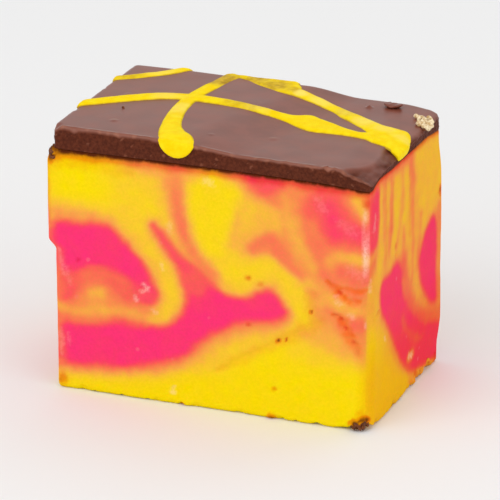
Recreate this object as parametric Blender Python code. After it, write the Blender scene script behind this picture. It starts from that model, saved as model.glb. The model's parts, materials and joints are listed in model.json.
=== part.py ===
"""A block of marbled fudge with a chocolate layer and drizzled icing on top.

The block is a knife-cut piece of a tray: four cut sides, a flat bottom and a
poured chocolate top that falls away to the right. X runs along the long side,
Y from the front cut to the back cut, Z up, with the origin under the block.
"""
import math

import bmesh
import bpy
from mathutils import Vector, noise

# Driving dimensions, in metres
MM = 0.001
LENGTH = 42 * MM
DEPTH = 26 * MM
FUDGE_HEIGHT = 32 * MM
TOP_LEVEL = 35 * MM
LAYER_GAP = 0.3 * MM

# The cut sides: how far they wander from a true plane
CUT_WAVE = 0.16 * MM
CUT_WAVE_LENGTH = 9 * MM
SIDE_ROUND = 0.7 * MM
BASE_ROUND = 0.5 * MM
LAYER_ROUND = 0.15 * MM
RIM_ROUND = 0.45 * MM
GRID_STEP = 2.1 * MM

# The left end stands out above a step, and its chocolate stops short of it
STEP_HEIGHT = 19.3 * MM
STEP_BLEND = 0.7 * MM
STEP_OUT = 1.0 * MM
CHOCOLATE_SHORT = 0.65 * MM

# The right end swells at its back edge, and its low front corner is worn up
BACK_SWELL = 0.45 * MM
CORNER_LIFT = 1.0 * MM
CORNER_REACH = 4.5 * MM

# The chocolate's top: a slope across the middle, soft falls at the right
SLOPE_DROP = 0.85 * MM
RIGHT_DROP = 0.45 * MM
RIM_DROP = 0.55 * MM
RIM_REACH = 1.6 * MM
CORNER_DIP = 0.5 * MM

# Drizzled icing: how far it stands proud of the top and of the cut sides
DRIZZLE_PROUD = 0.3 * MM
DRIZZLE_BULGE = 0.2 * MM
DRIZZLE_SIDES = 10
DRIZZLE_STEP = 1.6 * MM

# Each line of icing in millimetres: x, y, its full width and how deep it is sunk there
DRIZZLE_LINES = {
    "middle": [(-24, -6.2, 1.6, 0.5), (-18, -1.2, 1.9, 0.5), (-13, 2.0, 2.2, 0.5),
               (-5.5, 3.2, 2.3, 0.5), (-0.9, 2.6, 1.9, 0.5), (3, 2.1, 2.0, 0.5),
               (5.6, 2.0, 3.0, 0.5), (7.7, 1.9, 5.2, 0.5), (10, 1.2, 3.7, 0.5),
               (13, 0.5, 1.9, 0.5), (16, 0, 1.2, 0.5), (18.4, -0.8, 1.2, 0.5)],
    "right": [(-7.5, 14.6, 1.4, 0.5), (-3.3, 12.2, 1.6, 0.5), (0, 10.8, 2.3, 0.5),
              (2.6, 10.1, 2.9, 0.5), (5.2, 9.1, 2.3, 0.5), (8.5, 7.5, 2.0, 0.5),
              (13, 4.8, 2.5, 0.5), (17, 2.3, 3.0, 0.5), (19, 1.2, 4.6, 0.6),
              (20.6, 0.4, 6.6, 0.7), (23, 0.2, 7.0, 0.8)],
    "front": [(-4.4, -15, 4.6, 1.9), (-4.5, -13, 4.5, 1.8), (-5.2, -10.6, 3.4, 0.8),
              (-6.6, -8, 2.4, 0.5), (-8.4, -2.5, 2.2, 0.5), (-8.9, 3, 2.1, 0.5),
              (-8.1, 9, 2.2, 0.5), (-6.8, 15, 2.4, 0.5)],
    "left": [(-24, 4.9, 1.4, 0.5), (-19.5, 7.8, 1.7, 0.5), (-15.5, 10.9, 1.6, 0.5),
             (-12.6, 15, 1.5, 0.5)],
}

FUDGE_COLOUR = (0.94, 0.62, 0.02)
CHOCOLATE_COLOUR = (0.13, 0.045, 0.03)


def clear_scene():
    for item in list(bpy.data.objects):
        bpy.data.objects.remove(item, do_unlink=True)


def blend(low, high, value):
    """0 below low, 1 above high, and a smooth turn between."""
    share = min(1.0, max(0.0, (value - low) / (high - low)))
    return share * share * (3 - 2 * share)


def wave(a, b, seed):
    """A slow wander between -1 and 1 over a cut side."""
    return noise.noise(Vector((a / CUT_WAVE_LENGTH, b / CUT_WAVE_LENGTH, seed)))


def left_out(y, z):
    """How far the left end stands out of its plane."""
    step = blend(STEP_HEIGHT - STEP_BLEND, STEP_HEIGHT + STEP_BLEND, z)
    ragged = 1 - 0.4 * blend(30 * MM, 33 * MM, z)
    nearer_front = 1 - 0.5 * blend(-DEPTH / 2, DEPTH / 2, y)
    return STEP_OUT * step * ragged * nearer_front + CUT_WAVE * wave(y, z, 3.7)


def right_out(y, z):
    """How far the right end stands out of its plane."""
    tall = blend(2 * MM, 7 * MM, z) * (1 - blend(26 * MM, 31 * MM, z))
    return BACK_SWELL * blend(0, DEPTH / 2, y) * tall + CUT_WAVE * wave(y, z, 9.1)


def front_out(x, z):
    return CUT_WAVE * wave(x, z, 14.3)


def back_out(x, z):
    return CUT_WAVE * wave(x, z, 21.9)


def worn_corner(x, y):
    """1 at the low front right corner, fading to 0 a short way off."""
    away = math.hypot(x - LENGTH / 2, y + DEPTH / 2)
    return 1 - blend(0, CORNER_REACH, away)


def layer_line(x, y):
    """Height at which the fudge ends and the chocolate begins."""
    right = blend(14 * MM, LENGTH / 2, x)
    back = blend(0, DEPTH / 2, y)
    crown = 0.15 * MM * math.cos(math.pi * x / LENGTH)
    return FUDGE_HEIGHT + crown - 0.3 * MM * right - 0.25 * MM * right * back


def top_line(x, y):
    """Height of the chocolate's top."""
    back = (y + DEPTH / 2) / DEPTH
    start = (-6 + 9 * back) * MM
    end = (4.5 + 6 * back) * MM
    height = TOP_LEVEL + 0.08 * MM * wave(x * 0.8, y * 0.8, 30.5)
    height -= SLOPE_DROP * blend(start, end, x)
    height -= RIGHT_DROP * blend(16 * MM, LENGTH / 2, x)
    height -= RIM_DROP * blend(LENGTH / 2 - RIM_REACH, LENGTH / 2 + 0.6 * MM, x)
    corner = math.hypot((x - LENGTH / 2) * 1.4, y + DEPTH / 2)
    return height - CORNER_DIP * (1 - blend(0, 5.5 * MM, corner))


def round_edges(mesh, wanted, round_by):
    """Round the edges whose two ends both satisfy a test."""
    edges = [edge for edge in mesh.edges if all(wanted(vert.co) for vert in edge.verts)]
    bmesh.ops.bevel(mesh, geom=edges, offset=round_by, segments=2, profile=0.5, affect="EDGES")


def grid_box(size, base_round, top_round, extra_heights=()):
    """A box on z = 0 with rounded edges and its sides cut into a grid."""
    mesh = bmesh.new()
    bmesh.ops.create_cube(mesh, size=1)
    bmesh.ops.scale(mesh, vec=size, verts=mesh.verts)
    bmesh.ops.translate(mesh, vec=(0, 0, size[2] / 2), verts=mesh.verts)
    upright = [edge for edge in mesh.edges if edge.verts[0].co.xy == edge.verts[1].co.xy]
    bmesh.ops.bevel(mesh, geom=upright, offset=SIDE_ROUND, segments=2, profile=0.5,
                    affect="EDGES")
    round_edges(mesh, lambda place: place.z < 1e-6, base_round)
    round_edges(mesh, lambda place: place.z > size[2] - 1e-6, top_round)
    cuts = [(2, height) for height in extra_heights]
    for axis in range(3):
        low = 0 if axis == 2 else -size[axis] / 2
        count = round(size[axis] / GRID_STEP)
        cuts += [(axis, low + size[axis] * index / count) for index in range(1, count)]
    for axis, distance in cuts:
        across = Vector((0, 0, 0))
        across[axis] = 1
        everything = mesh.verts[:] + mesh.edges[:] + mesh.faces[:]
        bmesh.ops.bisect_plane(mesh, geom=everything, plane_co=across * distance,
                               plane_no=across)
    return mesh


def move_sides(x, y, z, height):
    """Take a point of the true box to the wandering cut sides, at this height."""
    share_right = 0.5 + x / LENGTH
    share_back = 0.5 + y / DEPTH
    moved_x = x + right_out(y, height) * share_right - left_out(y, height) * (1 - share_right)
    moved_y = y + back_out(x, height) * share_back - front_out(x, height) * (1 - share_back)
    return Vector((moved_x, moved_y, z))


def flatten_underside(mesh, level):
    """Merge the small faces of a flat underside into one."""
    low = [face for face in mesh.faces if all(abs(v.co.z - level) < 1e-7 for v in face.verts)]
    inner = {edge for face in low for edge in face.edges
             if all(other in low for other in edge.link_faces)}
    bmesh.ops.dissolve_edges(mesh, edges=list(inner), use_verts=True)


def finish_object(name, mesh, colour, roughness):
    """Close the mesh off as an object with its own material."""
    bmesh.ops.triangulate(mesh, faces=mesh.faces[:])
    bmesh.ops.recalc_face_normals(mesh, faces=mesh.faces[:])
    data = bpy.data.meshes.new(name)
    mesh.to_mesh(data)
    mesh.free()
    item = bpy.data.objects.new(name, data)
    bpy.context.scene.collection.objects.link(item)
    material = bpy.data.materials.new(name)
    material.use_nodes = True
    shader = material.node_tree.nodes["Principled BSDF"]
    shader.inputs["Base Color"].default_value = (*colour, 1)
    shader.inputs["Roughness"].default_value = roughness
    shader.inputs["Metallic"].default_value = 0
    data.materials.append(material)
    return item


def make_fudge():
    step_edges = (STEP_HEIGHT - STEP_BLEND, STEP_HEIGHT + STEP_BLEND)
    mesh = grid_box((LENGTH, DEPTH, FUDGE_HEIGHT), BASE_ROUND, LAYER_ROUND, step_edges)
    for vert in mesh.verts:
        x, y, z = vert.co
        share_up = z / FUDGE_HEIGHT
        lifted = z + CORNER_LIFT * worn_corner(x, y) * (1 - share_up) ** 4
        lifted += (layer_line(x, y) - LAYER_GAP / 2 - FUDGE_HEIGHT) * share_up
        vert.co = move_sides(x, y, lifted, z)
    flatten_underside(mesh, 0)
    return finish_object("fudge", mesh, FUDGE_COLOUR, 0.45)


def make_chocolate():
    thick = TOP_LEVEL - FUDGE_HEIGHT
    mesh = grid_box((LENGTH, DEPTH, thick), LAYER_ROUND, RIM_ROUND)
    for vert in mesh.verts:
        x, y, z = vert.co
        low = layer_line(x, y) + LAYER_GAP / 2
        height = low + (top_line(x, y) - low) * z / thick
        place = move_sides(x, y, height, FUDGE_HEIGHT)
        place.x += CHOCOLATE_SHORT * (0.5 - x / LENGTH)
        vert.co = place
    return finish_object("chocolate", mesh, CHOCOLATE_COLOUR, 0.35)


def smooth_line(points):
    """Points about DRIZZLE_STEP apart on a smooth curve through the given ones."""
    ends = [points[0] * 2 - points[1]] + points + [points[-1] * 2 - points[-2]]
    line = []
    for index in range(1, len(ends) - 2):
        before, start, end, after = ends[index - 1:index + 3]
        count = max(1, round((end.xy - start.xy).length / DRIZZLE_STEP))
        for part in range(count):
            t = part / count
            line.append(0.5 * (2 * start + (end - before) * t
                               + (2 * before - 5 * start + 4 * end - after) * t ** 2
                               + (3 * start - before - 3 * end + after) * t ** 3))
    line.append(points[-1])
    return line


def trim_to_cuts(mesh):
    """Cut a rope of icing off where the knife passed, and cap its ends."""
    reach_x = LENGTH / 2 + DRIZZLE_BULGE
    reach_y = DEPTH / 2 + DRIZZLE_BULGE
    for outward, reach in (((1, 0, 0), reach_x), ((-1, 0, 0), reach_x),
                           ((0, 1, 0), reach_y), ((0, -1, 0), reach_y)):
        everything = mesh.verts[:] + mesh.edges[:] + mesh.faces[:]
        bmesh.ops.bisect_plane(mesh, geom=everything, plane_co=Vector(outward) * reach,
                               plane_no=outward, clear_outer=True)
        open_edges = [edge for edge in mesh.edges if edge.is_boundary]
        bmesh.ops.holes_fill(mesh, edges=open_edges, sides=0)


def make_drizzle(name, places):
    """One line of icing: an oval rope lying along the chocolate's top."""
    line = smooth_line([Vector(place) * MM for place in places])
    mesh = bmesh.new()
    rings = []
    for index, point in enumerate(line):
        before = line[max(0, index - 1)]
        after = line[min(len(line) - 1, index + 1)]
        along = (after.xy - before.xy).normalized()
        side = Vector((along.y, -along.x))
        level = top_line(point.x, point.y)
        ring = []
        for step in range(DRIZZLE_SIDES):
            angle = 2 * math.pi * step / DRIZZLE_SIDES
            place = point.xy + side * (0.5 * point.z * math.cos(angle))
            rise = DRIZZLE_PROUD if math.sin(angle) > 0 else point.w
            ring.append(mesh.verts.new((*place, level + rise * math.sin(angle))))
        rings.append(ring)
    for first, second in zip(rings, rings[1:]):
        for step in range(DRIZZLE_SIDES):
            after = (step + 1) % DRIZZLE_SIDES
            mesh.faces.new((first[step], first[after], second[after], second[step]))
    mesh.faces.new(rings[0])
    mesh.faces.new(rings[-1])
    trim_to_cuts(mesh)
    return finish_object("drizzle_" + name, mesh, FUDGE_COLOUR, 0.4)


def fuse_drizzle(chocolate):
    """Join all the icing to the chocolate as one solid."""
    group = bpy.data.collections.new("drizzle")
    bpy.context.scene.collection.children.link(group)
    for name, places in DRIZZLE_LINES.items():
        rope = make_drizzle(name, places)
        bpy.context.scene.collection.objects.unlink(rope)
        group.objects.link(rope)
    union = chocolate.modifiers.new("icing", "BOOLEAN")
    union.operation = "UNION"
    union.operand_type = "COLLECTION"
    union.collection = group
    union.solver = "EXACT"
    bpy.context.view_layer.objects.active = chocolate
    bpy.ops.object.modifier_apply(modifier=union.name)
    for rope in list(group.objects):
        bpy.data.objects.remove(rope, do_unlink=True)
    bpy.data.collections.remove(group)


def centre_on_origin(items):
    """Put the origin under the middle of the whole block's box."""
    points = [vert.co for item in items for vert in item.data.vertices]
    middle_x = (min(p.x for p in points) + max(p.x for p in points)) / 2
    middle_y = (min(p.y for p in points) + max(p.y for p in points)) / 2
    for item in items:
        for vert in item.data.vertices:
            vert.co.x -= middle_x
            vert.co.y -= middle_y


def main():
    clear_scene()
    fudge = make_fudge()
    chocolate = make_chocolate()
    fuse_drizzle(chocolate)
    centre_on_origin([fudge, chocolate])


main()
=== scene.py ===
import json
import math

import bpy
import numpy as np
from mathutils import Euler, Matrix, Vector, noise

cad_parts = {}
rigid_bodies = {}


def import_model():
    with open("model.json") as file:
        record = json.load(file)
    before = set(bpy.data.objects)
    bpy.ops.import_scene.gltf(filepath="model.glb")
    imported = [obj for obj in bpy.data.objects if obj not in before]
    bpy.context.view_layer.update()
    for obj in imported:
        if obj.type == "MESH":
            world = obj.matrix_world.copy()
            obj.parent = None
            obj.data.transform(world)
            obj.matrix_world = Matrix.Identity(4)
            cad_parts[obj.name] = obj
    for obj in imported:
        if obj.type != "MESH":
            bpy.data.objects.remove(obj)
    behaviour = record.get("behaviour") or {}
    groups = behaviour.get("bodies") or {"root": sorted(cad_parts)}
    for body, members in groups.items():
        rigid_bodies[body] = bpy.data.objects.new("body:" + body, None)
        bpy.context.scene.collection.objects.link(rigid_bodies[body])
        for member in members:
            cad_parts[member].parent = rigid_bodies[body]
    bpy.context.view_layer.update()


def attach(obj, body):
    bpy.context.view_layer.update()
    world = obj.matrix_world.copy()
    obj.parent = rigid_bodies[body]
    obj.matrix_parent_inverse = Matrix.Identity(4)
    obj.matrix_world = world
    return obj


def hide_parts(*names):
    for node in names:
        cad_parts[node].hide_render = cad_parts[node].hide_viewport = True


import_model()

# Pieces are shaped in millimetres in the block's own frame, the same as the solids',
# and placePiece takes them to metres over the frame's origin.
mm = 0.001
block = {
    "length": 42.0,
    "depth": 26.0,
    "fudgeHeight": 32.0,
    "topLevel": 35.0,
    "middleX": -0.272,      # the block's own middle, which lies over the frame's origin
    "waveLength": 9.0,      # how slowly the cut sides wander
    "cutWave": 0.16,        # and how far
    "waveSeeds": {"left": 3.7, "right": 9.1, "front": 14.3, "back": 21.9, "top": 30.5},
    "sideRound": 0.7,
    "stepHeight": 19.3,     # the left end stands out above this
    "stepBlend": 0.7,
    "stepOut": 1.0,
    "stepBroken": (0.4, 30, 33),  # how much less near the top, between two heights
    "stepFade": 0.5,        # and towards the back
    "backSwell": 0.45,      # the right end swells at its back edge
    "swellHeights": (2, 7, 26, 31),
    "cornerLift": 1.0,      # the low front right corner is worn up
    "cornerReach": 4.5,
    # the line between fudge and chocolate along the right end, by the distance from the
    # front: how far it rises, humps and falls
    "lineFrom": 14,
    "lineCrown": 0.15,
    "lineRise": (0.4, 3),
    "lineHump": (0.3, 4, 4.5),
    "lineFall": (0.65, 19, 26),
    "lineBase": 0.3,
    "topWave": (0.08, 0.8),
    "slopeDrop": 0.85,      # the top's fall across the middle, between two slanting lines
    "slopeStart": (-6, 9),
    "slopeEnd": (4.5, 6),
    "rightDrop": (0.45, 16),
    "rimDrop": (0.55, 1.6, 0.6),
    "cornerDip": (0.5, 5.5, 1.4),
    "chocolateShort": 0.65,  # how far the chocolate stops short of the left end
}


halfLength, halfDepth = block["length"] / 2, block["depth"] / 2
around = 4 * (halfLength + halfDepth)   # once round the four cut sides


def softStep(low, high, value):
    share = np.clip((value - low) / (high - low), 0, 1)
    return share * share * (3 - 2 * share)


def wander(a, b, seed, waveLength=block["waveLength"]):
    # a slow wander between -1 and 1 over two coordinates
    pairs = zip(np.asarray(a) / waveLength, np.asarray(b) / waveLength)
    return np.array([noise.noise(Vector((p, q, seed))) for p, q in pairs])


def speckle(points, size, seed):
    # the same in all three directions, for relief that has no face of its own
    shifted = points / size + seed
    return np.array([noise.noise(Vector(place)) for place in shifted])


def sideWave(side, a, b):
    return block["cutWave"] * wander(a, b, block["waveSeeds"][side])


def leftOut(y, z):
    middle, blend = block["stepHeight"], block["stepBlend"]
    less, low, high = block["stepBroken"]
    step = block["stepOut"] * softStep(middle - blend, middle + blend, z)
    broken = 1 - less * softStep(low, high, z)
    return step * broken * (1 - block["stepFade"] * softStep(-halfDepth, halfDepth, y)) \
        + sideWave("left", y, z)


def rightOut(y, z):
    low, full, fading, gone = block["swellHeights"]
    tall = softStep(low, full, z) * (1 - softStep(fading, gone, z))
    return block["backSwell"] * softStep(0, halfDepth, y) * tall + sideWave("right", y, z)


def layerLine(x, y):
    # the height at which the fudge ends and the chocolate begins
    fromFront = y + halfDepth
    rise, riseReach = block["lineRise"]
    hump, middle, humpReach = block["lineHump"]
    fall, low, high = block["lineFall"]
    raised = rise * softStep(0, riseReach, fromFront)
    raised = raised + hump * (1 - softStep(0, humpReach, np.abs(fromFront - middle)))
    dropped = fall * softStep(low, high, fromFront)
    crown = block["lineCrown"] * np.cos(math.pi * x / block["length"])
    right = softStep(block["lineFrom"], halfLength, x)
    return block["fudgeHeight"] + crown + right * (raised - dropped - block["lineBase"])


def topLine(x, y):
    # the height of the chocolate's top
    back = (y + halfDepth) / block["depth"]
    far, squeeze = block["topWave"]
    height = block["topLevel"] + far * wander(x * squeeze, y * squeeze, block["waveSeeds"]["top"])
    (low, lowShift), (high, highShift) = block["slopeStart"], block["slopeEnd"]
    height = height - block["slopeDrop"] * softStep(low + lowShift * back,
                                                    high + highShift * back, x)
    drop, start = block["rightDrop"]
    height = height - drop * softStep(start, halfLength, x)
    drop, reach, past = block["rimDrop"]
    height = height - drop * softStep(halfLength - reach, halfLength + past, x)
    dip, reach, narrow = block["cornerDip"]
    away = np.hypot((x - halfLength) * narrow, y + halfDepth)
    return height - dip * (1 - softStep(0, reach, away))


def topAt(x, y):
    return float(topLine(np.array([x]), np.array([y]))[0])


def nearSpot(x, y, a, b, radius):
    return 1 - softStep(0, radius, np.hypot(x - a, y - b))


def moveSides(x, y, height):
    # take points of the true box to the wandering cut sides
    shareRight = 0.5 + x / block["length"]
    shareBack = 0.5 + y / block["depth"]
    movedX = x + rightOut(y, height) * shareRight - leftOut(y, height) * (1 - shareRight)
    movedY = y + sideWave("back", x, height) * shareBack \
        - sideWave("front", x, height) * (1 - shareBack)
    return movedX, movedY


def readPoints(piece):
    flat = np.empty(len(piece.data.vertices) * 3, np.float32)
    piece.data.vertices.foreach_get("co", flat)
    return flat.reshape(-1, 3).astype(float)


def writePoints(piece, points):
    piece.data.vertices.foreach_set("co", points.astype(np.float32).ravel())
    piece.data.update()


def paint(piece, name, values):
    # keep one number for each point, which a material reads by its name
    layer = piece.data.attributes.new(name, "FLOAT", "POINT")
    layer.data.foreach_set("value", np.clip(values, 0, 1).astype(np.float32))


def useOnly(piece):
    bpy.ops.object.select_all(action="DESELECT")
    piece.select_set(True)
    bpy.context.view_layer.objects.active = piece


def applyModifier(piece, kind, **settings):
    useOnly(piece)
    modifier = piece.modifiers.new(kind.lower(), kind)
    for name, value in settings.items():
        setattr(modifier, name, value)
    bpy.ops.object.modifier_apply(modifier=modifier.name)


def bevelWhere(piece, wanted, roundBy):
    # round the edges whose two ends both satisfy a test
    useOnly(piece)
    bpy.context.tool_settings.mesh_select_mode = (False, True, False)
    mesh = piece.data
    for part in (mesh.vertices, mesh.edges, mesh.polygons):
        part.foreach_set("select", [False] * len(part))
    for edge in mesh.edges:
        first, second = (mesh.vertices[index].co for index in edge.vertices)
        edge.select = wanted(first, second)
    bpy.ops.object.mode_set(mode="EDIT")
    bpy.ops.mesh.bevel(offset=roundBy, segments=4, affect="EDGES")
    bpy.ops.object.mode_set(mode="OBJECT")


def roundedBox(name, size, baseRound, rimRound, voxel):
    # a box on z = 0 with rounded edges, remeshed finely enough to be shaped
    bpy.ops.object.select_all(action="DESELECT")
    bpy.ops.mesh.primitive_cube_add(size=1, location=(0, 0, size[2] / 2), scale=size)
    piece = bpy.context.object
    piece.name = name
    bpy.ops.object.transform_apply(location=True, rotation=False, scale=True)
    tall = 0.5 * size[2]
    bevelWhere(piece, lambda first, second: abs(first.z - second.z) > tall, block["sideRound"])
    bevelWhere(piece, lambda first, second: max(first.z, second.z) < 1e-4, baseRound)
    bevelWhere(piece, lambda first, second: min(first.z, second.z) > size[2] - 1e-4, rimRound)
    applyModifier(piece, "REMESH", mode="VOXEL", voxel_size=voxel, adaptivity=0,
                  use_smooth_shade=True)
    return piece


def placePiece(piece, slotName, *replaced):
    # from millimetres to metres, with the place kept in the mesh
    useOnly(piece)
    piece.scale = (mm, mm, mm)
    piece.location = (-block["middleX"] * mm, 0, 0)
    bpy.ops.object.transform_apply(location=True, rotation=True, scale=True)
    bpy.ops.object.shade_smooth()
    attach(piece, "root")
    if replaced:
        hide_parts(*replaced)


# The marbling, as share of pink, painted in order on the four cut sides: a pool is a
# closed outline and a vein a line with its width at each point, both after how much
# pink they hold and how soft their edge is. Places are along the side and up it.
marbling = {
    "swirl": (0.30, 3.0),   # how far the paint is stirred, and over what distance
    "ripple": (0.13, 0.8),
    "haze": (0.05, 3.4),
    "hazeFrom": (0.06, 0.2),
    "fleck": (0.035, 1.3),
    "edgeBlend": 0.9,       # how far the paint of two sides mixes round an edge
    "nearLayer": (0.05, 30.2, 31.8),   # a little pinker under the chocolate
    "leftEdge": (0.24, 0.3, 1.9),      # paler along the front left edge
    "under": 0.10,          # the underside's own ground, and how it takes over
    "underReach": (0.4, 2.4),
    # share of pink in the plain fudge, by the distance round from the front left corner
    "ground": [
        (0, 0.16), (2.5, 0.03), (39.6, 0.04), (41.4, 0.32), (43, 0.36), (66, 0.34), (71, 0.16),
        (104, 0.04), (112, 0.14), (130, 0.2),
    ],
}
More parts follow.
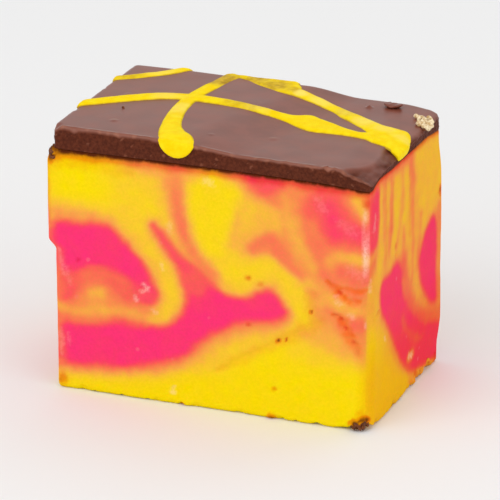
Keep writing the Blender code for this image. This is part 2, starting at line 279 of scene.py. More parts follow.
sidePaint = {
    "front": [
        ("pool", 0.04, 1, [(15, 9), (24, 9.5), (24, -2), (13, -2)]),
        ("pool", 0.2, 2.2, [(-12.4, 33), (-11.4, 25.5), (-9, 22), (-6, 22), (-4.5, 33)]),
        ("pool", 0.24, 1.5, [(2.8, 33), (5, 29), (4.6, 25), (2.6, 21.5), (-1, 19), (1.5, 16.5),
         (6, 17), (10.6, 17), (11.6, 12), (13, 10.7), (24, 10.3), (24, 33)]),
        ("pool", 0.5, 1.5, [(8.2, 34), (8, 29.5), (9.6, 27), (9.2, 25.2), (6.6, 24.2), (5.6, 22.2),
         (8, 21.9), (11.4, 19.8), (12.8, 17), (12.6, 13.4), (15, 12.4), (17.4, 11), (24, 10.8),
         (24, 34)]),
        ("pool", 0.33, 0.9, [(5, 29.2), (7.2, 28.4), (9, 27.4), (9.2, 25.6), (7.4, 24.6),
         (6.2, 22.9), (5, 22.6), (4.2, 25.6)]),
        ("pool", 0.26, 1.6, [(-9.5, 24.2), (-5.2, 23.5), (-3.3, 19.2), (-2.6, 16.5), (-2.5, 13.6),
         (-4.2, 11.7), (-6, 10.9), (-8, 11.2), (-7, 12.8), (-6.9, 14.8), (-8.3, 17.8), (-10, 20.6),
         (-12, 22.5)]),
        ("pool", 0.22, 1.2, [(-23, 3.2), (-12, 3.4), (-4, 5.2), (0.6, 5.3), (4, 7.4), (8, 10.1),
         (12, 12.4), (14.6, 13.8), (13, 18.5), (10.5, 19), (9.8, 14), (2, 11), (-3, 8),
         (-23, 4.5)]),
        ("vein", 0.37, 1.5, [(-24, 23.4, 1.4), (-18, 23.9, 1.6), (-13, 23.5, 1.2)]),
        ("pool", 0.55, 0.9, [(-24, 12.4), (-20.5, 12), (-19.5, 15.2), (-15, 16.8), (-11, 16.2),
         (-9.3, 14.8), (-9.6, 12.8), (-7.8, 11.8), (-5.6, 11.3), (-8, 9.8), (-14, 9.6),
         (-24, 9.4)]),
        ("vein", 0.6, 1.2, [(-4.2, 33, 2.2), (-4.1, 29.5, 1.7), (-3.7, 26, 1.6), (-2.9, 23, 1.6),
         (-1.4, 20.4, 1.6), (0.6, 18.2, 1)]),
        ("vein", 0.4, 1.1, [(-9.6, 31.4, 0.8), (-7, 31, 1.6), (-4, 31, 2), (1, 31.4, 1.7),
         (5, 31.4, 1.8)]),
        ("vein", 0.54, 0.9, [(-3.9, 31, 1.6), (-3.8, 29.2, 1)]),
        ("pool", 0.97, 1, [(-24, 20.6), (-20.6, 21.7), (-19, 22.5), (-16.5, 22.4), (-13, 22.5),
         (-11.4, 21.2), (-10, 19.6), (-8.8, 17.6), (-7.9, 16), (-7.5, 14.6), (-7.9, 13.4),
         (-9, 13.1), (-9.8, 13.8), (-10, 15.2), (-11.4, 16.4), (-14, 17), (-16.5, 16.8),
         (-18.2, 15.8), (-19, 14.2), (-19.4, 13), (-20.8, 12.7), (-24, 12.7)]),
        ("vein", 0.74, 1, [(-23, 13.2, 2.4), (-20.4, 13.6, 2.6), (-19.2, 14.8, 1.4)]),
        ("vein", 0.7, 1.1, [(-18.5, 14.6, 1.2), (-16, 15.2, 1.1), (-13.4, 15, 1.4),
         (-11.4, 14.1, 1.8), (-10.4, 13.3, 1)]),
        ("vein", 0.38, 0.9, [(-15.9, 13.5, 0.8), (-14.9, 13.7, 0.8)]),
        ("vein", 0.43, 0.8, [(-21, 11, 0.8), (-17.5, 10.7, 0.8), (-14, 11.4, 0.8),
         (-10, 11, 0.8)]),
        ("vein", 0.24, 0.9, [(-8.2, 10.7, 0.8), (-5.8, 11.6, 1.5), (-4.6, 13.4, 1.6),
         (-5, 15.6, 0.9)]),
        ("vein", 0.8, 0.8, [(-9.4, 14.6, 1.3), (-8.4, 14, 1.7)]),
        ("pool", 0.4, 1.3, [(-24, 3.8), (-14, 4.2), (-8, 5.4), (-3.4, 7.4), (0.6, 11.2), (6, 12.6),
         (10.4, 14.4), (11.4, 14), (9.6, 12.4), (4, 10.4), (1, 8.8), (-2, 6.2), (-5.5, 4.5),
         (-11, 3.2), (-15, 2.8), (-24, 2.7)]),
        ("pool", 0.97, 1, [(-24, 9), (-20, 8.9), (-17.5, 8.8), (-15, 9.2), (-12.6, 9.8),
         (-11.4, 9.7), (-10, 9.6), (-8, 9.9), (-6, 10.3), (-4.4, 11.4), (-3.2, 13.2), (-2.9, 15.2),
         (-3, 16.9), (-1.8, 17.8), (-0.4, 16.9), (1.5, 15.7), (3.5, 15.4), (5.4, 15.7),
         (6.8, 16.7), (8, 16.9), (9, 16.1), (9.7, 15), (9.9, 14.4), (9.2, 13.8), (7.5, 13.3),
         (5, 12.6), (3, 12.1), (1.2, 11.2), (-0.5, 10), (-2, 8.6), (-3.3, 7.2), (-5.5, 6.1),
         (-8, 5.2), (-11, 4.4), (-15, 4), (-20, 3.8), (-24, 3.8)]),
        ("vein", 0.76, 0.8, [(-6.8, 23.6, 0.6), (-5.6, 22, 1), (-4.3, 20, 1.3), (-3, 18.2, 2),
         (-1.9, 16.6, 2.6)]),
        ("vein", 0.12, 1.3, [(0.6, 33, 1.2), (0.8, 29, 2.6), (0.4, 25, 2.6), (1, 21.6, 1.6)]),
        ("vein", 0.38, 0.8, [(4, 26.6, 0.6), (3.8, 24.6, 0.8), (3.4, 22.2, 0.7)]),
        ("vein", 0.5, 1.2, [(6.4, 30.6, 1.6), (8.4, 29.6, 1.4), (10.4, 28.8, 1.2)]),
        ("vein", 0.18, 1, [(2.2, 19, 1.2), (5, 19.6, 1.6), (8, 20.2, 1.8), (10.2, 19, 1.6),
         (11.8, 16.6, 1.6), (12.3, 13.6, 1.4)]),
        ("vein", 0.64, 1, [(6, 22.4, 0.7), (7.4, 23.3, 1.3), (8.5, 23.6, 1.7), (9.4, 22.8, 1.4),
         (10.6, 21.2, 1), (12, 19.8, 0.6)]),
        ("vein", 0.6, 0.9, [(12.8, 25.2, 0.8), (13.8, 22.8, 0.8), (14.8, 20.4, 0.8)]),
        ("vein", 0.43, 0.8, [(9.9, 30, 0.8), (10.8, 27, 1), (12, 23.6, 1.3), (13.4, 21, 1)]),
        ("pool", 0.77, 1, [(3.9, 34), (4.8, 31.4), (6.1, 30.2), (7.6, 29.7), (8.9, 30.3),
         (9.9, 31.4), (10.4, 34)]),
        ("vein", 0.6, 0.9, [(10.8, 32, 1.6), (14, 32.3, 1.6), (18.4, 32, 1.4)]),
        ("pool", 0.72, 1.2, [(12.9, 29.2), (13.8, 30.6), (15.6, 31.2), (17.2, 30.7), (18.8, 28.8),
         (20, 27.6), (23.2, 28.6), (23.2, 24.6), (20, 24.5), (17.5, 24.3), (14.8, 24.2),
         (13.6, 25.6), (12.8, 27.6)]),
        ("pool", 0.84, 1.2, [(14.9, 29.2), (15.9, 29.6), (17, 28), (18.4, 26.8), (20.4, 26.6),
         (20.4, 25.5), (18, 25.2), (16.2, 25), (15.4, 26.4)]),
        ("vein", 0.62, 1, [(13.4, 26.4, 1), (14.6, 24.4, 1.2)]),
        ("vein", 0.36, 1, [(16.2, 22.2, 1.1), (18, 22.5, 1.7), (20, 22.9, 1.2)]),
        ("vein", 0.69, 1, [(17.8, 20.9, 2), (20, 20.6, 2.4)]),
        ("vein", 0.43, 1.1, [(13.2, 18.2, 1), (14.2, 16.8, 1.6), (14.6, 15, 1.2)]),
        ("vein", 0.16, 1.4, [(10.5, 9.6, 1), (13, 9.2, 1.6), (16, 9, 1.2)]),
        ("vein", 0.6, 0.8, [(15.6, 20, 0.8), (16.6, 19, 0.9), (18.2, 18.4, 1), (20.6, 18.8, 1)]),
        ("vein", 0.38, 0.9, [(16.2, 16.9, 1.1), (18.2, 15.9, 1.7), (20.4, 15.7, 1)]),
        ("vein", 0.38, 1.2, [(12.8, 11.8, 1), (15.2, 11.9, 1.8), (17.2, 11, 1.2)]),
        ("vein", 0.56, 0.9, [(15.6, 15.4, 0.8), (16.8, 14.6, 1.2)]),
        ("vein", 0.64, 0.8, [(18.8, 13.8, 1.2), (20.4, 14, 1.4)]),
        ("vein", 0.38, 0.8, [(19.4, 30.6, 1.2), (20.2, 28.8, 1)]),
    ],
    "right": [
        ("pool", 0.31, 1.8, [(3.6, 34), (3.8, 27), (5, 23), (8, 21.6), (11.5, 22.6), (15, 21),
         (15, 34)]),
        ("pool", 0.14, 1.8, [(-15, 12), (-10.6, 11.6), (-7.4, 8.6), (-4, 5), (1.5, 2.4), (6, 1),
         (6, -2), (-15, -2)]),
        ("vein", 0.3, 0.8, [(4, 1, 1.4), (9, 0.3, 1.6), (15, 0.2, 1.2)]),
        ("pool", 0.86, 1, [(-14, 33), (-10.6, 32), (-9.9, 30), (-9.9, 27.8), (-10.5, 25),
         (-11.8, 24.2), (-15, 24.6)]),
        ("vein", 0.62, 1.2, [(-13.8, 21.6, 2.2), (-12, 22, 1.2)]),
        ("vein", 0.32, 0.6, [(-9.2, 31, 0.8), (-9.1, 26.5, 1), (-9.5, 22.7, 1), (-9.9, 19.4, 0.8),
         (-9.7, 16, 0.6)]),
        ("vein", 0.5, 0.7, [(-7.9, 31.5, 0.7), (-7.6, 27, 1.1), (-7.7, 23.5, 1),
         (-7.8, 20.6, 0.6)]),
        ("vein", 0.32, 0.7, [(-6.5, 30.4, 0.7), (-6.5, 26, 0.8), (-6.9, 22, 0.6)]),
        ("vein", 0.56, 0.7, [(-5.2, 31, 0.7), (-5.2, 27.4, 1.1), (-5.4, 24.6, 1.5),
         (-6.2, 21.6, 1)]),
        ("vein", 0.3, 0.9, [(-3, 29.8, 1.3), (-3.2, 27, 1.5), (-3.6, 24, 1.3), (-4.4, 21.6, 0.9)]),
        ("vein", 0.46, 0.6, [(-1.2, 30, 0.7), (-1.3, 26, 0.9), (-2, 23.4, 0.8), (-3.4, 21, 0.7)]),
        ("vein", 0.31, 0.8, [(0.1, 29.6, 1.1), (0.2, 26, 1.2), (-0.2, 23.2, 0.8)]),
        ("vein", 0.55, 0.7, [(1.7, 32, 1), (2, 28.4, 1.2), (2.3, 25, 0.8), (2.8, 20.8, 0.8),
         (2.9, 17.4, 0.9), (2.5, 14.6, 0.7)]),
        ("vein", 0.5, 0.6, [(-0.6, 22.6, 0.6), (-0.4, 20, 1), (-0.5, 17, 0.8)]),
        ("vein", 0.36, 0.6, [(1.2, 22.6, 0.8), (1.2, 18.6, 1), (0.8, 15, 0.9)]),
        ("vein", 0.56, 0.8, [(-12, 32, 1), (-7, 31.8, 1.2), (-2, 31.7, 1.2), (1.6, 31.8, 0.8)]),
        ("vein", 0.4, 0.6, [(3.9, 25, 0.7), (3.8, 21, 1), (3.9, 16.5, 1), (3, 13.2, 1),
         (3.6, 11.2, 1.2), (6.2, 9.2, 1.3), (9.6, 7.9, 1.3), (13.8, 7.2, 1.4)]),
        ("vein", 0.5, 0.6, [(5, 22.6, 0.6), (4.8, 19.6, 0.8), (4.5, 16, 0.5)]),
        ("vein", 0.64, 1.2, [(-0.4, 18.4, 1.2), (0.4, 14.5, 1.6), (2.6, 11.4, 1.6), (7, 8.4, 1.3),
         (13, 7.2, 1)]),
        ("pool", 0.9, 0.9, [(-5.7, 18.4), (-4.2, 19), (-2.3, 18.5), (-1.3, 17), (-1.5, 15.6),
         (-0.6, 13.2), (1, 11.4), (4.4, 9), (7.4, 7.2), (11.8, 5.8), (15.5, 4.6), (15.5, 0.1),
         (10.8, 0.4), (5.6, 1.6), (2, 3.1), (-1, 5.2), (-2.7, 7.3), (-4.9, 10), (-7.1, 12.6),
         (-8.7, 14.9), (-9.1, 17.1), (-8.2, 18.3)]),
        ("vein", 0.74, 0.6, [(-0.6, 10.6, 0.8), (1.6, 7.6, 0.9), (6, 5.6, 0.6)]),
        ("vein", 0.52, 0.9, [(11.6, 22, 1), (12.2, 18, 2), (12.4, 13, 2.2), (12, 9.6, 1.4)]),
        ("pool", 0.92, 0.8, [(7.6, 20.2), (9.2, 21), (10.3, 20), (10.5, 17), (10.5, 14),
         (10.8, 11.6), (10.7, 9.7), (9.5, 9.4), (8, 10.6), (6.4, 12.4), (5.4, 14.3), (5.1, 16.4),
         (5.9, 18.3)]),
        ("vein", 0.46, 0.6, [(1.8, 4.6, 0.8), (2.9, 4.5, 1)]),
        ("vein", 0.36, 0.5, [(2.6, 1.2, 1), (6, 0.7, 1.5), (9.6, 0.3, 1.5), (13, -0.2, 1)]),
    ],
    "left": [
        ("pool", 0.46, 2.4, [(-15, 9), (-9, 10), (-4, 12), (-2, 17), (-3, 22), (-7, 24),
         (-15, 24)]),
        ("pool", 0.3, 2, [(-15, 2.2), (0, 0.6), (15, 0.4), (15, 6.5), (8, 8), (5, 12), (6, 20),
         (5, 28), (0, 29), (-3, 24), (-4, 17), (-8, 12)]),
        ("pool", 1, 1, [(-15, 22), (-11.5, 22.6), (-9, 21.5), (-8, 19), (-9.3, 16.6), (-12, 15.2),
         (-15, 14.4)]),
        ("pool", 0.96, 1, [(-15, 9.1), (-10, 9.9), (-6, 12), (-3, 15.5), (-1.5, 20), (-0.2, 24.5),
         (1.5, 27.2), (3.2, 26), (3.4, 22), (2.6, 17), (1.2, 12), (2.5, 8), (6, 5.2), (10, 4.4),
         (15, 4.8), (15, 2), (8, 1.8), (1, 2.8), (-5, 3.2), (-10, 3.4), (-15, 3.8)]),
        ("vein", 0.45, 1, [(-15, 12, 1.6), (-8, 13.5, 1.8), (-5, 17, 2), (-3.5, 22, 1.8),
         (-2.8, 27, 1)]),
        ("vein", 0.12, 1.2, [(5, 30, 2), (6, 22, 2.4), (7, 14, 2.2), (10, 9, 1.4)]),
        ("pool", 0.5, 1.7, [(15, 25), (11.4, 27.4), (6.4, 30.4), (5.2, 26), (7.6, 20.4),
         (11.4, 17.4), (15, 16)]),
        ("vein", 0.9, 1.1, [(15, 20.6, 3.6), (11.6, 22.2, 2.8), (8.8, 25, 1.8), (7.2, 28.2, 0.8)]),
        ("vein", 0.62, 1.2, [(13.4, 9.6, 0.8), (9.4, 12, 1.6), (7.4, 16.4, 0.8)]),
        ("vein", 0.6, 1, [(-9, 31.5, 2), (-6, 30, 1.4), (-2, 30.6, 0.8)]),
        ("vein", 0.3, 1.2, [(-11, 27.6, 1.6), (-4, 28.6, 2.2), (-1, 31, 1.2)]),
        ("vein", 0.7, 0.9, [(2.4, 29.6, 0.8), (4.4, 26.4, 1.4), (5.2, 21.6, 0.8)]),
        ("vein", 0.4, 1, [(-13, 8, 0.8), (-7, 7.4, 1.4), (-1, 9.4, 1)]),
    ],
    "back": [
        ("pool", 0.4, 2.2, [(23, 11), (15, 11), (9, 12), (5, 16), (3, 22), (0, 27), (-6, 28.5),
         (-11.5, 24), (-10, 18), (-5, 12), (0, 5), (10, 1.5), (23, 0.4)]),
        ("pool", 0.28, 2.2, [(-23, 27), (-14, 26), (-11, 18), (-12, 10), (-6, 6), (-8, 3),
         (-23, 1.6)]),
        ("pool", 0.93, 1, [(23, 5.8), (19, 7.2), (15, 7.8), (11, 8.4), (7, 10.2), (4, 12.5),
         (1.5, 16.8), (0, 21.5), (-2, 24.6), (-5, 26), (-8, 25.2), (-9.4, 22.6), (-8.6, 19.6),
         (-6.4, 17.2), (-4, 14), (-2.2, 10), (0.5, 6.2), (5, 3.6), (11, 2.2), (17, 1.4),
         (23, 1.2)]),
        ("vein", 0.4, 0.9, [(16, 5.2, 0.8), (9, 6, 1.2), (3, 9.4, 1.1), (-0.6, 14.5, 1),
         (-3.4, 19.4, 1.2), (-5.6, 21.8, 0.8)]),
        ("pool", 0.48, 1.8, [(-23, 24), (-16, 23.4), (-11.6, 19), (-11, 12), (-15, 6.6),
         (-20, 6.4), (-23, 8)]),
        ("vein", 0.92, 1, [(-23, 19.6, 3.6), (-18.4, 19.4, 4.4), (-14.8, 16.6, 3.4),
         (-14.2, 13, 2), (-16, 10.6, 0.9)]),
        ("vein", 0.2, 1, [(-19, 16.4, 1), (-17.4, 13.4, 1.6)]),
        ("vein", 0.9, 1, [(-23, 3.4, 2.6), (-17, 3.8, 2.2), (-11, 5.2, 1.4), (-6, 8, 0.8)]),
        ("vein", 0.6, 1, [(12, 31.5, 1.4), (11, 27, 1.6), (9, 22, 1.2), (8, 18, 0.8)]),
        ("vein", 0.46, 1.2, [(20, 30, 1.6), (16.5, 24, 2), (15.6, 18, 1.6), (18, 13, 1.2)]),
        ("vein", 0.66, 1, [(-3, 32, 1.6), (-12, 30.6, 1.8), (-18, 31, 1)]),
        ("vein", 0.5, 0.9, [(5.5, 30, 0.8), (4.6, 25, 1.4), (5.6, 20, 0.8)]),
        ("pool", 0.55, 1.6, [(10, 16.5), (14, 19), (19, 17), (20, 22), (15, 25), (10.5, 22.5)]),
        ("vein", 0.3, 1.2, [(-13, 24, 1.4), (-9, 28, 1.8), (-3, 29.5, 1.4)]),
        ("vein", 0.78, 0.9, [(2, 5.6, 0.8), (-3, 4.4, 1.6), (-9, 6.6, 1.2), (-13, 11, 0.8)]),
        ("vein", 0.22, 1, [(15, 9.6, 0.7), (10, 10.4, 1.1), (6.6, 13.6, 0.9)]),
        ("vein", 0.62, 0.8, [(-17, 29, 0.6), (-16, 24.6, 1.2), (-12.6, 21, 0.8)]),
    ],
}
underPaint = [
    ("pool", 0.36, 2.2, [(-18, -9), (-9, -10), (-2, -7), (5, -1), (3, 5), (-5, 6), (-13, 2)]),
    ("pool", 0.3, 2, [(6, 10), (13, 8), (19, 3), (18, -4), (12, -2), (8, 4)]),
    ("pool", 0.92, 1.1, [(-17, -6.4), (-12, -8.2), (-6, -7.4), (-1, -4.2), (2.6, 0.4), (2.2, 3.2),
     (0, 2.2), (-3, -1.4), (-8, -3.6), (-13, -3.2)]),
    ("vein", 0.62, 1.2, [(-13, 2, 1), (-7, 3.4, 1.8), (-2, 5.6, 1)]),
    ("vein", 0.84, 1.1, [(6, 9, 1), (11, 7.4, 2.4), (16, 3, 2), (17.6, -2, 1)]),
    ("vein", 0.5, 1.2, [(5, -9, 1.4), (10, -6.6, 2), (14, -7.4, 1)]),
]


def smoothPath(places, closed, cuts=4):
    # points on a smooth curve through the given ones
    points = np.array(places, float)
    if closed:
        ends = np.vstack([points[-1], points, points[0], points[1]])
    else:
        ends = np.vstack([2 * points[0] - points[1], points, 2 * points[-1] - points[-2]])
    path = []
    for behind, start, ahead, beyond in zip(ends, ends[1:], ends[2:], ends[3:]):
        for step in range(cuts):
            t = step / cuts
            path.append(0.5 * (2 * start + (ahead - behind) * t
                               + (2 * behind - 5 * start + 4 * ahead - beyond) * t ** 2
                               + (3 * start - behind - 3 * ahead + beyond) * t ** 3))
    if not closed:
        path.append(points[-1])
    return np.array(path)


def nearestOn(a, b, start, end):
    # how far along a short stretch the nearest place is, and how far away
    along = end[:2] - start[:2]
    reach = max(along @ along, 1e-9)
    share = np.clip(((a - start[0]) * along[0] + (b - start[1]) * along[1]) / reach, 0, 1)
    return share, np.hypot(a - start[0] - along[0] * share, b - start[1] - along[1] * share)


def insideVein(a, b, path):
    # how far inside a line of varying width each point lies, and its half width there
    best = np.full(a.shape, -99.0)
    half = np.full(a.shape, 0.5)
    for start, end in zip(path, path[1:]):
        share, away = nearestOn(a, b, start, end)
        here = 0.5 * (start[2] + (end[2] - start[2]) * share)
        nearer = here - away > best
        best = np.where(nearer, here - away, best)
        half = np.where(nearer, here, half)
    return best, half


def insidePool(a, b, outline):
    # how far inside a closed outline each point lies
    away = np.full(a.shape, 99.0)
    within = np.zeros(a.shape, bool)
    for start, end in zip(outline, np.roll(outline, -1, axis=0)):
        away = np.minimum(away, nearestOn(a, b, start, end)[1])
        crosses = (start[1] > b) != (end[1] > b)
        rise = end[1] - start[1] if abs(end[1] - start[1]) > 1e-9 else 1e-9
        within ^= crosses & (a < start[0] + (b - start[1]) * (end[0] - start[0]) / rise)
    return np.where(within, away, -away)


def paintStrokes(a, b, strokes, value):
    for kind, share, soft, places in strokes:
        path = smoothPath(places, kind == "pool")
        low, high = path[:, :2].min(axis=0) - 3, path[:, :2].max(axis=0) + 3
        near = (a > low[0]) & (a < high[0]) & (b > low[1]) & (b < high[1])
        if not near.any():
            continue
        if kind == "pool":
            inside = insidePool(a[near], b[near], path)
        else:
            inside = insideVein(a[near], b[near], path)[0]
        core = softStep(-1.1 * soft, 0.7 * soft, inside)
        halo = softStep(-2.3 * soft, 0.3 * soft, inside)
        cover = 0.66 * core + 0.34 * halo
        value[near] = value[near] * (1 - cover) + share * cover


def sideOf(x, y):
    # the nearest cut side (0 front, 1 right, 2 back, 3 left) and how far in from it
    gaps = np.stack([y + halfDepth, halfLength - x, halfDepth - y, x + halfLength])
    return gaps.argmin(axis=0), np.abs(gaps.min(axis=0))


def roundTheSides(x, y):
    # distance round the block from its front left corner
    side = sideOf(x, y)[0]
    turns = [x + halfLength, 2 * halfLength + halfDepth + y, 3 * halfLength + 2 * halfDepth - x,
             4 * halfLength + 3 * halfDepth - y]
    return np.select([side == index for index in range(4)], turns)


def turnedFromLeft(s):
    # how far round from the front left edge, either way
    return np.minimum(np.mod(s, around), around - np.mod(s, around))


def pinkShareAt(points):
    # the share of pink at points of the true box
    x, y, z = points.T
    stirred, stirredUp = [sum(far * speckle(points, size, seed + size)
                              for far, size in (marbling["swirl"], marbling["ripple"]))
                          for seed in (11.0, 57.0)]
    s = roundTheSides(x, y) + stirred
    up = z + stirredUp
    places, shares = zip(*marbling["ground"])
    ground = np.interp(s, places, shares, period=around)
    value = np.zeros(s.shape)
    start = 0
    for side, way in (("front", 1), ("right", 1), ("back", -1), ("left", -1)):
        half = halfLength if side in ("front", "back") else halfDepth
        along = way * (np.mod(s - start - half + around / 2, around) - around / 2)
        start += 2 * half
        blend = marbling["edgeBlend"]
        weight = softStep(-blend, blend, half - np.abs(along))
        here = weight > 0
        shade = ground[here]
        paintStrokes(along[here], up[here], sidePaint[side], shade)
        value[here] += weight[here] * shade
    underValue = np.full(value.shape, marbling["under"])
    paintStrokes(x + stirred, y + stirredUp, underPaint, underValue)
    under = softStep(*marbling["underReach"], sideOf(x, y)[1]) * (z < 1)
    value = value * (1 - under) + underValue * under
    most, low, high = marbling["nearLayer"]
    value += most * softStep(low, high, z) * (z < block["fudgeHeight"] - 0.01) * (1 - value)
    most, low, high = marbling["leftEdge"]
    value -= most * (1 - softStep(low, high, turnedFromLeft(s))) * softStep(0.6, 0.9, value)
    haze, hazeSize = marbling["haze"]
    fleck, fleckSize = marbling["fleck"]
    value += haze * speckle(points, hazeSize, 83.0) * softStep(*marbling["hazeFrom"], value)
    return value + fleck * speckle(points, fleckSize, 91.0)


